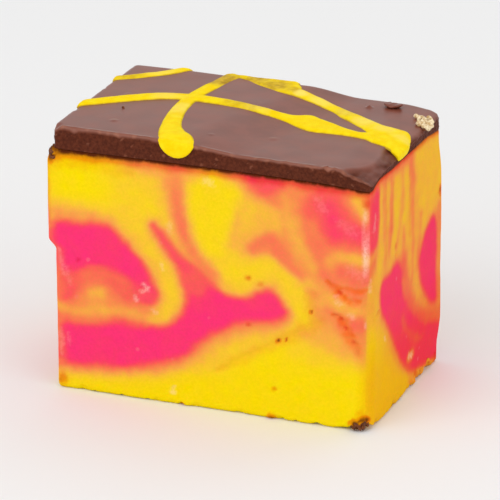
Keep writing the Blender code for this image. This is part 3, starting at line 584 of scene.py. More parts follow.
# The fudge body: what breaks up its cut sides. A crack is (side, depth, line with widths)
# and a pit or a nub is (side, along, up, radius, depth), with nubs standing out.
fudge = {
    "voxel": 0.26,
    "baseRound": 0.45,
    "rimRound": 0.05,
    # the front right edge is worn round, less and less between two heights
    "edgeRound": 2.3,
    "edgeRoundTop": (16, 23),
    "edgeFade": (0.15, 0.9),  # where the relief starts in from the block's edges
    "fineWave": (0.035, 2.2),
    "grainWave": (0.014, 0.75),
    # the chipped foot: its chips, how far it reaches, and how much more at the right end
    "ragged": ((0.18, 2.6), (0.14, 0.9)),
    "chips": (4.4, 0.5, 3),
    "footReach": 1.6,
    "footRight": 2.6,
    # the broken upper edge: at the left end, and all round
    "broken": (0.22, 0.9),
    "brokenLeft": (29.5, 31.5),
    "brokenRound": (0.4, 30.5, 32),
    "crackEdge": (-0.15, 0.8),
    "crackTorn": (0.5, 0.8),
    "shadedCracks": 3,         # the first so many get painted shade in their grooves
    "crackShadeEdge": (-1.1, 0.6),
    "crackShadeTorn": (0.8, 0.7),
    "crackShadeBelow": (0.35, 0.6, 10.5, 13.5),
    "cracks": [
        (0, 0.26, [(15.4, 19.5, 0.4), (16.3, 18.8, 0.8), (17, 17.9, 0.9), (18.1, 17.4, 0.9),
         (19, 17.3, 0.8), (19.9, 17.4, 0.5)]),
        (0, 0.18, [(17, 18.9, 0.3), (18.1, 18.9, 0.6), (19.4, 18.7, 0.6), (20.8, 19, 0.4)]),
        (0, 0.34, [(16.2, 15.2, 0.4), (17.1, 14.8, 0.9), (17.7, 13.6, 1.3), (18.5, 12.4, 1.2),
         (19.2, 11, 1.1), (19.8, 9.9, 0.6)]),
        (0, 0.11, [(0, 4.9, 0.6), (3, 6.8, 1), (6, 8.8, 1), (9, 10.6, 0.9), (12, 12.5, 0.9),
         (15, 14.1, 0.7)]),
        (1, 0.25, [(-11.5, 14.4, 0.5), (-9.5, 14.9, 0.4)]),
    ],
    "pits": [
        (0, -8.9, 14.9, 0.75, 0.22), (0, -10.1, 13.6, 0.4, 0.16), (0, 8.9, 10.6, 0.4, 0.3),
        (0, 10, 10.9, 0.3, 0.2), (0, 13.3, 15.1, 0.35, 0.25), (0, 8.5, 4.1, 0.4, 0.18),
        (0, 5, 18.3, 0.4, 0.2), (0, -17.8, 17.5, 0.3, 0.2), (0, -5, 2, 0.45, 0.14),
        (1, 2.4, 4.7, 0.8, 0.25), (1, 12, 24, 0.5, 0.3), (1, -3.6, 20.2, 0.5, 0.2),
        (2, 7, 21, 0.5, 0.25), (2, -12, 9, 0.4, 0.25), (2, 1.5, 27.5, 0.4, 0.2),
        (3, -4, 11, 0.45, 0.25), (3, 6.5, 24, 0.5, 0.25),
    ],
    "nubs": [
        (0, -3.2, 0.3, 1.2, 0.22), (0, 8, 0.3, 0.8, 0.2), (0, -6.4, 18.2, 0.9, 0.06),
        (1, 1.6, 0.5, 0.5, 0.22), (1, 3, 0.9, 0.6, 0.26), (1, 4, 0.4, 0.7, 0.3),
        (1, 5.4, 0.9, 0.6, 0.24), (1, 6.6, 0.5, 0.7, 0.32), (1, 8, 1, 0.6, 0.24),
        (1, 9.5, 0.6, 0.9, 0.3), (1, 11, 1, 0.6, 0.22), (1, -5, 0.5, 0.6, 0.2),
        (2, 3, 0.4, 1.2, 0.2), (2, -9, 0.5, 0.8, 0.2), (3, -6, 0.4, 0.9, 0.2),
    ],
    # cocoa rubbed down from the layer: how far, and wider or narrower at which places
    "stainReach": 1.4,
    "stainWider": (0.55, -17, -6),
    "stainNarrower": 0.4,
    "stainUneven": (0.35, 1.9),
    "stainSoft": 0.45,
    "stainDark": 0.75,
    "stainFaint": 0.3,       # how much fainter at the right end
    "edgeSmear": (29.2, 31.4),
    "edgeSmearReach": (0.6, 2.6),
    "edgeSmearBroken": (-0.1, 0.35, 0.8),
    "leftEdgeShade": (0.16, 0.1, 0.9),
    "leftEdgeShadeAbove": (21, 24),
    "underFade": (0.7, 1.8),
    "spotUneven": (0.5, 0.6),
    "smearUneven": (0.9, 1.1),
    "smearEdge": (-1.2, 0.6),
    # cocoa stains, dark specks and darker spots in most pits: side, along, up, radius, how strong
    "stains": [
        (0, -20.3, 1.2, 1.6, 0.36), (0, -20.5, 0.9, 0.6, 0.6), (0, 19.3, 0.3, 1.2, 0.95),
        (0, 20.3, 0.5, 1.2, 0.95), (0, 20, 1.8, 0.9, 0.14), (0, 8, 0.1, 0.9, 0.75),
        (0, 17, 18.2, 0.5, 0.4), (0, 17.2, 14.8, 0.5, 0.3), (0, 17.8, 13.6, 0.5, 0.42),
        (0, 18.8, 11.8, 0.5, 0.3), (0, 8.9, 10.6, 0.42, 0.85), (0, 10, 10.9, 0.32, 0.7),
        (0, 13.3, 15.1, 0.42, 0.7), (0, 5, 18.3, 0.6, 0.36), (0, 6.6, 17.8, 0.6, 0.24),
        (0, 8.5, 4.1, 0.5, 0.34), (0, -17.8, 17.6, 0.5, 0.3), (0, 5, 12.2, 0.5, 0.36),
        (0, 20.5, 30.4, 1.2, 0.34), (0, -20.6, 30.9, 1.3, 0.75), (0, -3.9, 0.1, 0.5, 0.4),
        (1, 12, 24, 1.1, 0.55), (1, 11.6, 0.8, 1.2, 0.45), (1, 4.5, 1.3, 0.9, 0.35),
        (1, -3.6, 21.4, 0.7, 0.24), (1, 2.4, 5.2, 0.5, 0.3), (1, -12.7, 0.5, 0.9, 0.8),
        (2, 7, 21, 0.6, 0.5), (2, -12, 9, 0.5, 0.6), (2, 1.5, 27.5, 0.5, 0.4),
        (2, 16, 3, 0.7, 0.4), (2, -18.5, 29.8, 1, 0.6), (2, 12, 14.5, 0.4, 0.5),
        (3, -4, 11, 0.5, 0.5), (3, 6.5, 24, 0.6, 0.5), (3, 10, 1.2, 1.2, 0.4),
        (3, -10.5, 29.5, 0.9, 0.6), (3, 1, 29.8, 0.7, 0.5),
    ],
    # longer smears of a deeper gold: side, how strong, line with widths
    "smears": [
        (0, 0.075, [(1, 5.6, 0.6), (3.4, 7.1, 1.1), (6, 8.8, 1.1), (9, 10.5, 1.1)]),
        (0, 0.11, [(9, 10.5, 1), (12, 12.4, 1.5), (14.6, 13.9, 1.2)]),
        (0, 0.11, [(13.2, 17.4, 1), (13.4, 15.2, 1.4), (14.2, 13.6, 1.2)]),
        (0, 0.1, [(-20, 30.2, 1.2), (-15, 30.6, 1.4), (-10, 30.2, 1)]),
        (1, 0.09, [(-7.6, 31, 0.4), (-7.2, 26, 0.6), (-7.3, 21, 0.4)]),
        (1, 0.09, [(-4.6, 30, 0.4), (-5, 26, 0.5), (-5.8, 22, 0.4)]),
        (1, 0.08, [(1, 30.5, 0.4), (1.2, 26, 0.6), (1.6, 21, 0.5)]),
        (2, 0.12, [(16, 24, 0.9), (8, 26, 1.2), (2, 30, 1)]),
        (3, 0.12, [(-9, 6, 0.8), (-3, 7.4, 1.1), (4, 10, 0.9)]),
    ],
    # painted glints of light, and pale crumbs of sugar and scuffs: side, how strong, line with
    # widths
    "glints": [
        (0, 0.6, [(-8.9, 15.5, 0.5), (-8.5, 15.1, 0.7)]),
        (0, 0.45, [(-9.3, 14.6, 0.5), (-9.1, 14.4, 0.4)]),
        (0, 0.45, [(-10.2, 13.8, 0.3), (-9.9, 13.4, 0.5)]),
        (0, 0.3, [(-7.8, 12.3, 0.4), (-7.4, 12, 0.5)]),
        (0, 0.2, [(-20.3, 18.8, 0.4), (-20, 17, 0.7), (-19.7, 15.4, 0.4)]),
        (0, 0.14, [(-19.5, 16.6, 0.4), (-19.1, 15.2, 0.6), (-18.9, 14.2, 0.4)]),
        (0, 0.18, [(-20.4, 8, 0.4), (-20.2, 6.4, 0.7), (-20.3, 4.6, 0.4)]),
        (0, 0.12, [(-19.4, 7.6, 0.4), (-19.2, 6.2, 0.5)]),
        (0, 0.3, [(16.5, 17.5, 0.6), (16.9, 16.9, 0.8)]),
        (0, 0.26, [(18.3, 15.5, 0.6), (18.9, 15.3, 0.7)]),
        (0, 0.45, [(20.7, 14.4, 0.5), (20.8, 14, 0.5)]),
        (0, 0.34, [(-5, 2.4, 0.4), (-5.1, 1.6, 0.6)]),
        (0, 0.22, [(-0.2, 30.4, 0.8), (0.6, 30.1, 0.8)]),
        (0, 0.2, [(-4.9, 23.9, 0.6), (-4.9, 23.1, 0.7)]),
        (0, 0.22, [(-6.4, 18.5, 0.6), (-6.3, 17.9, 0.5)]),
        (0, 0.12, [(14.3, 29.9, 0.9), (14.9, 28.9, 1.2)]),
        (0, 0.1, [(17, 27.4, 0.9), (18.6, 26.4, 1.3)]),
        (0, 0.12, [(18.6, 21.4, 1.2), (20, 20.8, 1)]),
        (1, 0.45, [(2, 4.7, 0.7), (2.9, 4.5, 0.8)]),
        (1, 0.26, [(-11.5, 28.2, 0.5), (-11.8, 26.6, 0.8)]),
        (1, 0.28, [(-7.8, 10.7, 0.5), (-7.4, 10.3, 0.5)]),
        (1, 0.3, [(-12.6, 20.4, 0.3), (-12.5, 18.6, 0.4)]),
        (2, 0.34, [(-6.2, 20.6, 0.5), (-5.8, 20.2, 0.6)]),
        (2, 0.3, [(9, 10.8, 0.5), (9.2, 10.2, 0.6)]),
        (2, 0.24, [(-15.2, 16.4, 0.4), (-14.8, 15, 0.6)]),
        (3, 0.34, [(-8.7, 18.2, 0.4), (-8.3, 17.6, 0.6)]),
        (3, 0.28, [(2, 14.4, 0.4), (2.2, 13.4, 0.5)]),
    ],
    "glintUneven": (1.2, 0.45),
    "glintEdge": (-0.7, 0.7),
    # a painted highlight along the front right edge: how pale, how far round it, its middle
    # by the distance round the block, and between which heights
    "edgeHighlight": (0.58, 0.55),
    "edgeHighlightMiddle": 41.3,
    "edgeHighlightHeights": (18, 23, 28.5, 30.5),
    # painted shade in amber by the distance round: the right end, less so higher up, and the rest
    "sideShadeRight": (39.8, 43.2, 67, 70),
    "sideShadeHigh": (0.65, 6, 15),
    "sideShadeRest": (0.35, 132),
    "sideShadeUnder": 0.3,
}
outward = np.array([(0, -1), (1, 0), (0, 1), (-1, 0)], float)


def uneven(points, values, seed):
    far, size = values
    return far * speckle(points, size, seed)


def veinShare(along, z, line, edge, torn):
    # 1 along a line drawn on a side, falling to 0 at its torn edges
    inside, half = insideVein(along, z, smoothPath(line, False))
    return softStep(*edge, inside / half + torn)


def sideRelief(points, side, gap):
    # how far each point of the cut sides stands out (or is sunk, where negative)
    x, y, z = points.T
    relief = sum(uneven(points, fudge[name], fudge[name][1] * 7)
                 for name in ("fineWave", "grainWave"))
    along = np.where(side % 2 == 0, x, y)
    torn = uneven(points, fudge["crackTorn"], 17.0)
    for where, deep, line in fudge["cracks"]:
        crack = veinShare(along, z, line, fudge["crackEdge"], torn)
        relief -= deep * (1 + torn) * crack * (side == where)
    for sign, spots in ((-1, fudge["pits"]), (1, fudge["nubs"])):
        for where, a, b, radius, deep in spots:
            relief += sign * deep * nearSpot(along, z, a, b, radius) * (side == where)
    most, low, high = fudge["brokenRound"]
    broken = softStep(*fudge["brokenLeft"], z) * (side == 3) + most * softStep(low, high, z)
    relief -= broken * np.abs(uneven(points, fudge["broken"], 41.0))
    return relief * (1 - softStep(*fudge["edgeFade"], gap))


def shapeFudge(piece):
    points = readPoints(piece)
    x, y, z = points.T
    share = z / block["fudgeHeight"]
    side, gap = sideOf(x, y)
    worn = nearSpot(x, y, halfLength, -halfDepth, block["cornerReach"])
    lifted = z + block["cornerLift"] * worn * (1 - share) ** 4
    reach = fudge["footReach"]
    foot = (1 - softStep(0, reach, gap)) * (1 - softStep(0, reach, z))
    foot = foot * np.where(side == 1, fudge["footRight"], 1.0)
    more, less, most = fudge["chips"]
    for far, size in fudge["ragged"]:
        lifted += far * foot * np.clip(more * speckle(points, size, 23.0) - less, 0, most)
    lifted += (layerLine(x, y) - block["fudgeHeight"]) * share
    movedX, movedY = moveSides(x, y, z)
    out = sideRelief(points, side, gap)
    movedX += outward[side, 0] * out
    movedY += outward[side, 1] * out
    reach = fudge["edgeRound"]
    fromRight, fromFront = halfLength - x, y + halfDepth
    near = (fromRight < reach) & (fromFront < reach) & (gap < 0.8)
    turn = math.pi / 4 * (1 + np.clip((fromFront - fromRight) / reach, -1, 1))
    rounded = near * (1 - softStep(*fudge["edgeRoundTop"], z))
    movedX += (reach * (np.sin(turn) - 1) + fromRight) * rounded
    movedY += (reach * (1 - np.cos(turn)) - fromFront) * rounded
    writePoints(piece, np.column_stack([movedX, movedY, lifted]))
    return points


def stainAndShadeAt(points, side, s):
    # cocoa rubbed down from the layer, and onto the left end and two low corners
    # with dark spots, and painted shade along the front left edge
    x, y, z = points.T
    along = np.where(side % 2 == 0, x, y)
    more, low, high = fudge["stainWider"]
    wider = 1 + more * (1 - softStep(low, high, x)) * (side == 0)
    wider = wider - fudge["stainNarrower"] * (side == 1)
    reach = fudge["stainReach"] * wider * (1 + uneven(points, fudge["stainUneven"], 5.0))
    smeared = 1 - np.clip((block["fudgeHeight"] - z) / np.maximum(reach, 0.2), 0, 1)
    stainAndShade = fudge["stainSoft"] * smeared + fudge["stainDark"] * smeared ** 3
    stainAndShade = stainAndShade * (1 - fudge["stainFaint"] * (side == 1))
    smear = softStep(*fudge["edgeSmear"], z)
    smear = smear * (1 - softStep(*fudge["edgeSmearReach"], turnedFromLeft(s)))
    low, high, size = fudge["edgeSmearBroken"]
    stainAndShade = np.maximum(stainAndShade, smear * softStep(low, high, speckle(points, size, 61.0)))
    blurred = 1 + uneven(points, fudge["spotUneven"], 67.0)
    for where, a, b, radius, most in fudge["stains"]:
        away = np.hypot(along - a, z - b) * blurred
        stainAndShade = np.maximum(stainAndShade, most * (1 - softStep(0.1, radius, away)) * (side == where))
    torn = uneven(points, fudge["smearUneven"], 87.0)
    for where, most, line in fudge["smears"]:
        core = veinShare(along, z, line, fudge["smearEdge"], torn)
        stainAndShade = np.maximum(stainAndShade, most * core * (side == where))
    # painted shade: the front left edge is a little darker higher up
    most, low, high = fudge["leftEdgeShade"]
    paintedEdgeShade = most * (1 - softStep(low, high, turnedFromLeft(s - 0.1)))
    return np.maximum(stainAndShade, paintedEdgeShade * softStep(*fudge["leftEdgeShadeAbove"], z))


def crackShadeAt(points, side):
    # painted shade: the cracks' grooves are a deeper orange red
    x, y, z = points.T
    along = np.where(side % 2 == 0, x, y)
    paintedCrackShade = np.zeros(len(points))
    far, size = fudge["crackShadeTorn"]
    torn = speckle(points, size, 17.0)
    least, more, low, high = fudge["crackShadeBelow"]
    fading = least + more * softStep(low, high, z)
    for where, deep, line in fudge["cracks"][:fudge["shadedCracks"]]:
        core = veinShare(along, z, line, fudge["crackShadeEdge"], far * torn)
        paintedCrackShade = np.maximum(paintedCrackShade, core * (0.75 + 0.5 * torn) * fading * (side == where))
    return paintedCrackShade


def amberShadeAt(z, s):
    # painted shade in amber, strongest on the right end
    low, high, fading, gone = fudge["sideShadeRight"]
    less, foot, top = fudge["sideShadeHigh"]
    passed = softStep(fading, gone, s)
    right = softStep(low, high, s) * (1 - passed) * (1 - less * softStep(foot, top, z))
    most, fading = fudge["sideShadeRest"]
    return np.maximum(right, most * passed * (1 - softStep(fading, around, s)))


def highlightsAndSugarAt(points, side, s):
    # a painted highlight along the front right edge between two heights, and the painted glints
    # and sugar crumbs
    x, y, z = points.T
    along = np.where(side % 2 == 0, x, y)
    most, reach = fudge["edgeHighlight"]
    low, full, fading, gone = fudge["edgeHighlightHeights"]
    edge = 1 - softStep(0.2, reach, np.abs(s - fudge["edgeHighlightMiddle"]))
    streaks = 0.75 + 0.9 * speckle(points * np.array([1, 1, 0.3]), 0.7, 71.0)
    pale = most * edge * softStep(low, full, z) * (1 - softStep(fading, gone, z)) * streaks
    torn = uneven(points, fudge["glintUneven"], 77.0)
    for where, strong, line in fudge["glints"]:
        core = veinShare(along, z, line, fudge["glintEdge"], torn)
        pale = np.maximum(pale, strong * core * (side == where))
    return pale


def paintFudge(piece, points):
    x, y, z = points.T
    side, gap = sideOf(x, y)
    s = roundTheSides(x, y)
    onSide = 1 - softStep(*fudge["underFade"], gap)   # nothing is drawn across the underside
    paint(piece, "pinkShare", pinkShareAt(points))
    # cocoa stains and dark spots, and painted shade along the front left edge
    paint(piece, "cocoaAndShade", stainAndShadeAt(points, side, s) * onSide)
    # painted shade in the cracks' grooves
    paint(piece, "crackShade", crackShadeAt(points, side) * onSide)
    # painted shade in amber on the right end, the back, left and underside
    paint(piece, "amberShade", amberShadeAt(z, s) * onSide + fudge["sideShadeUnder"] * (1 - onSide))
    # painted highlight on the front right edge, and painted glints with pale sugar crumbs
    paint(piece, "highlightsAndSugar", highlightsAndSugarAt(points, side, s) * onSide)


def makeFudge():
    size = (block["length"], block["depth"], block["fudgeHeight"])
    piece = roundedBox("fudgeBody", size, fudge["baseRound"], fudge["rimRound"], fudge["voxel"])
    points = shapeFudge(piece)
    paintFudge(piece, points)
    placePiece(piece, "fudge", "fudge")
    piece.data.materials.append(fudgeFinish())
    print("fudge body:", len(piece.data.polygons), "faces")


# Finishes. Colours are given as they look on a screen, 0 to 255.
def tone(red, green, blue):
    shares = np.array([red, green, blue]) / 255
    straight = np.where(shares <= 0.04045, shares / 12.92, ((shares + 0.055) / 1.055) ** 2.4)
    return (*straight.tolist(), 1.0)


def addNode(tree, kind, inputs=None, **settings):
    # inputs are given by name or number, as a value or as the socket that feeds them
    node = tree.nodes.new(kind)
    for name, value in settings.items():
        setattr(node, name, value)
    for name, value in (inputs or {}).items():
        if isinstance(value, bpy.types.NodeSocket):
            tree.links.new(value, node.inputs[name])
        else:
            node.inputs[name].default_value = value
    return node


def mathNode(tree, operation, first, second=0.0, clamp=False):
    node = addNode(tree, "ShaderNodeMath", {0: first, 1: second}, operation=operation,
                   use_clamp=clamp)
    return node.outputs[0]


def mixColours(tree, share, first, second, blend="MIX"):
    node = addNode(tree, "ShaderNodeMix", {0: share, 6: first, 7: second},
                   data_type="RGBA", blend_type=blend, clamp_factor=True)
    return node.outputs[2]


def spread(tree, value, low, high, outLow=0.0, outHigh=1.0):
    node = addNode(tree, "ShaderNodeMapRange", {0: value, 1: low, 2: high, 3: outLow, 4: outHigh},
                   interpolation_type="SMOOTHSTEP", clamp=True)
    return node.outputs[0]


def painted(tree, name):
    return addNode(tree, "ShaderNodeAttribute", attribute_type="GEOMETRY",
                   attribute_name=name).outputs["Fac"]


def makeSurfaceGroup():
    # soft patches, grain and pores that every food surface here shares
    tree = bpy.data.node_groups.new("foodSurface", "ShaderNodeTree")
    tree.interface.new_socket("Coordinates", in_out="INPUT", socket_type="NodeSocketVector")
    for name, usual in (("Patch Scale", 500.0), ("Grain Scale", 2500.0), ("Pore Scale", 900.0),
                        ("Pore Share", 0.2)):
        socket = tree.interface.new_socket(name, in_out="INPUT", socket_type="NodeSocketFloat")
        socket.default_value = usual
    for name in ("Patches", "Grain", "Pores", "Height"):
        tree.interface.new_socket(name, in_out="OUTPUT", socket_type="NodeSocketFloat")
    given = tree.nodes.new("NodeGroupInput").outputs
    patches = addNode(tree, "ShaderNodeTexNoise",
                      {"Vector": given["Coordinates"], "Scale": given["Patch Scale"],
                       "Detail": 3.0, "Roughness": 0.55}).outputs["Fac"]
    grain = addNode(tree, "ShaderNodeTexNoise",
                    {"Vector": given["Coordinates"], "Scale": given["Grain Scale"],
                     "Detail": 4.0, "Roughness": 0.6}).outputs["Fac"]
    cells = addNode(tree, "ShaderNodeTexVoronoi",
                    {"Vector": given["Coordinates"], "Scale": given["Pore Scale"],
                     "Randomness": 1.0}, feature="F1")
    draw = addNode(tree, "ShaderNodeSeparateColor", {0: cells.outputs["Color"]}).outputs[0]
    chosen = mathNode(tree, "LESS_THAN", draw, given["Pore Share"])
    roundness = spread(tree, cells.outputs["Distance"], 0.10, 0.26, 1.0, 0.0)
    pores = mathNode(tree, "MULTIPLY", roundness, chosen)
    rough = mathNode(tree, "MULTIPLY_ADD", grain, 0.35)
    rough.node.inputs[2].default_value = 0.0
    high = mathNode(tree, "ADD", mathNode(tree, "MULTIPLY", patches, 0.65), rough)
    height = mathNode(tree, "SUBTRACT", high, mathNode(tree, "MULTIPLY", pores, 0.5))
    result = tree.nodes.new("NodeGroupOutput").inputs
    for name, value in (("Patches", patches), ("Grain", grain), ("Pores", pores),
                        ("Height", height)):
        tree.links.new(value, result[name])
    return tree


surfaceGroup = makeSurfaceGroup()


def about(tree, value, far):
    # a value from 0 to 1 taken to either side of 0
    return mathNode(tree, "MULTIPLY", mathNode(tree, "SUBTRACT", value, 0.5), far)


def startFinish(name, **scales):
    material = bpy.data.materials.new(name)
    material.use_nodes = True
    tree = material.node_tree
    shader = tree.nodes["Principled BSDF"]
    coordinates = addNode(tree, "ShaderNodeTexCoord").outputs["Object"]
    group = addNode(tree, "ShaderNodeGroup", node_tree=surfaceGroup)
    tree.links.new(coordinates, group.inputs["Coordinates"])
    for label, value in scales.items():
        words = {"patch": "Patch Scale", "grain": "Grain Scale", "pore": "Pore Scale",
                 "poreShare": "Pore Share"}
        group.inputs[words[label]].default_value = value
    return material, tree, shader, group.outputs


def addBump(tree, shader, height, distance, strength):
    bump = addNode(tree, "ShaderNodeBump",
                   {"Height": height, "Distance": distance, "Strength": strength})
    tree.links.new(bump.outputs["Normal"], shader.inputs["Normal"])


def fudgeFinish():
    material, tree, shader, surface = startFinish("marbledFudge", patch=750.0, grain=3200.0,
                                                  pore=620.0, poreShare=0.10)
    # from yellow through orange to pink
    share = painted(tree, "pinkShare")
    mottled = mathNode(tree, "ADD", about(tree, surface["Patches"], 0.10),
                       about(tree, surface["Grain"], 0.12))
    share = mathNode(tree, "ADD", share, mottled)
    ramp = addNode(tree, "ShaderNodeValToRGB", {0: share})
    steps = [(0.0, tone(249, 222, 3)), (0.12, tone(248, 214, 26)), (0.27, tone(247, 198, 52)),
             (0.42, tone(246, 169, 74)), (0.56, tone(246, 135, 80)), (0.72, tone(248, 99, 86)),
             (0.86, tone(250, 69, 101)), (0.95, tone(251, 59, 113)), (1.0, tone(251, 54, 119))]
    elements = ramp.color_ramp.elements
    for index, (place, colour) in enumerate(steps):
        element = elements[index] if index < 2 else elements.new(place)
        element.position = place
        element.color = colour
    colour = ramp.outputs["Color"]
    # painted shade: the right end, and less so the back and left, are a darker warmer amber
    amberShade = painted(tree, "amberShade")
    colour = mixColours(tree, amberShade, colour, (0.96, 0.72, 0.48, 1.0), "MULTIPLY")
    # painted crack shade, painted edge highlight, painted glints with sugar crumbs, and flecks
    paintedCrackShade = mathNode(tree, "MULTIPLY", painted(tree, "crackShade"), 0.85)
    colour = mixColours(tree, paintedCrackShade, colour, tone(248, 106, 20))
    pale = painted(tree, "highlightsAndSugar")
    paleUneven = mathNode(tree, "MULTIPLY", pale,
                          spread(tree, surface["Grain"], 0.3, 0.6, 0.45, 1.0))
    colour = mixColours(tree, mathNode(tree, "MULTIPLY", paleUneven, 0.75), colour,
                        tone(255, 222, 206))
    # pale flecks in the pink, partly sugar and partly painted glints
    pinker = spread(tree, share, 0.4, 0.9)
    fleck = mathNode(tree, "MULTIPLY", surface["Pores"], mathNode(tree, "MULTIPLY", pinker, 0.22))
    colour = mixColours(tree, fleck, colour, tone(255, 150, 160))
    # cocoa near the layer, dark spots and painted shade on the front left edge go orange to brown
    stainAndShade = mathNode(tree, "MULTIPLY", painted(tree, "cocoaAndShade"),
                     spread(tree, surface["Patches"], 0.3, 0.6, 0.8, 1.1))
    warm = mathNode(tree, "MULTIPLY", stainAndShade, 3.0, clamp=True)
    colour = mixColours(tree, warm, colour, (0.90, 0.46, 0.5, 1.0), "MULTIPLY")
    colour = mixColours(tree, spread(tree, stainAndShade, 0.34, 1.0), colour, tone(88, 38, 16))
    # brighter and duller places in the grain
    shade = spread(tree, surface["Grain"], 0.3, 0.7, 0.93, 1.0)
    shades = addNode(tree, "ShaderNodeCombineColor", {0: shade, 1: shade, 2: shade})
    colour = mixColours(tree, 1.0, colour, shades.outputs[0], "MULTIPLY")
    tree.links.new(colour, shader.inputs["Base Color"])
    rough = mathNode(tree, "ADD", spread(tree, surface["Grain"], 0.25, 0.75, 0.40, 0.58),
                     mathNode(tree, "MULTIPLY", pale, 0.1))
    tree.links.new(rough, shader.inputs["Roughness"])
    shader.inputs["Specular IOR Level"].default_value = 0.006
    shader.inputs["Subsurface Weight"].default_value = 0.18
    shader.inputs["Subsurface Radius"].default_value = (1.0, 0.5, 0.25)
    shader.inputs["Subsurface Scale"].default_value = 0.0008
    addBump(tree, shader, surface["Height"], 0.00012, 0.6)
    return material


def chocolateFinish():
    material, tree, shader, surface = startFinish("pouredChocolate", patch=380.0, grain=2600.0,
                                                  pore=1100.0, poreShare=0.16)
    cut = painted(tree, "cutSide")
    # the poured top is painted lighter than the cut sides: partly its bloom, partly a painted
    # sheen
    top = mixColours(tree, spread(tree, surface["Patches"], 0.3, 0.7), tone(118, 62, 46),
                     tone(132, 72, 56))
    side = mixColours(tree, spread(tree, surface["Grain"], 0.3, 0.7), tone(76, 32, 18),
                      tone(98, 46, 28))
    colour = mixColours(tree, cut, top, side)
    # pale flecks on the cut sides and a painted highlight along the rim
    flecksAndRim = painted(tree, "paleFlecksAndRimHighlight")
    colour = mixColours(tree, flecksAndRim, colour, tone(150, 92, 70))
    tree.links.new(colour, shader.inputs["Base Color"])
    topRough = spread(tree, surface["Patches"], 0.25, 0.75, 0.30, 0.42)
    rough = mathNode(tree, "ADD", topRough, mathNode(tree, "MULTIPLY", cut, 0.22))
    tree.links.new(rough, shader.inputs["Roughness"])
    shader.inputs["Specular IOR Level"].default_value = 0.08
    gloss = mathNode(tree, "MULTIPLY", mathNode(tree, "SUBTRACT", 1.0, cut, clamp=True), 0.75)
    tree.links.new(gloss, shader.inputs["Coat Weight"])
    shader.inputs["Coat Roughness"].default_value = 0.34
    shader.inputs["Coat IOR"].default_value = 1.42
    height = mathNode(tree, "MULTIPLY", surface["Height"],
                      mathNode(tree, "ADD", mathNode(tree, "MULTIPLY", cut, 1.6), 0.25))
    addBump(tree, shader, height, 0.00010, 0.6)
    return material


def icingFinish():
    material, tree, shader, surface = startFinish("yellowIcing", patch=900.0, grain=3000.0,
                                                  pore=1300.0, poreShare=0.08)
    thick = mixColours(tree, spread(tree, surface["Patches"], 0.3, 0.7), tone(249, 210, 8),
                       tone(250, 222, 26))
    # creamier icing, and a painted highlight on the raised fold
    thick = mixColours(tree, painted(tree, "creamAndHighlight"), thick, tone(251, 230, 128))
    thin = mixColours(tree, spread(tree, surface["Patches"], 0.35, 0.65), tone(150, 112, 48),
                      tone(206, 164, 56))
    colour = mixColours(tree, painted(tree, "thinness"), thick, thin)
    tree.links.new(colour, shader.inputs["Base Color"])
    rough = spread(tree, surface["Grain"], 0.25, 0.75, 0.34, 0.50)
    tree.links.new(rough, shader.inputs["Roughness"])
    shader.inputs["Specular IOR Level"].default_value = 0.012
    shader.inputs["Subsurface Weight"].default_value = 0.12
    shader.inputs["Subsurface Radius"].default_value = (1.0, 0.6, 0.2)
    shader.inputs["Subsurface Scale"].default_value = 0.0005
    addBump(tree, shader, surface["Height"], 0.00005, 0.5)
    return material


def crumbFinish(name, light, dark):
    material, tree, shader, surface = startFinish(name, patch=2600.0, grain=7000.0,
                                                  pore=3000.0, poreShare=0.2)
    colour = mixColours(tree, spread(tree, surface["Patches"], 0.35, 0.65), (*light, 1.0),
                        (*dark, 1.0))
    tree.links.new(colour, shader.inputs["Base Color"])
    tree.links.new(spread(tree, surface["Grain"], 0.3, 0.7, 0.5, 0.75), shader.inputs["Roughness"])
    shader.inputs["Specular IOR Level"].default_value = 0.3
    addBump(tree, shader, surface["Height"], 0.00005, 0.6)
    return material


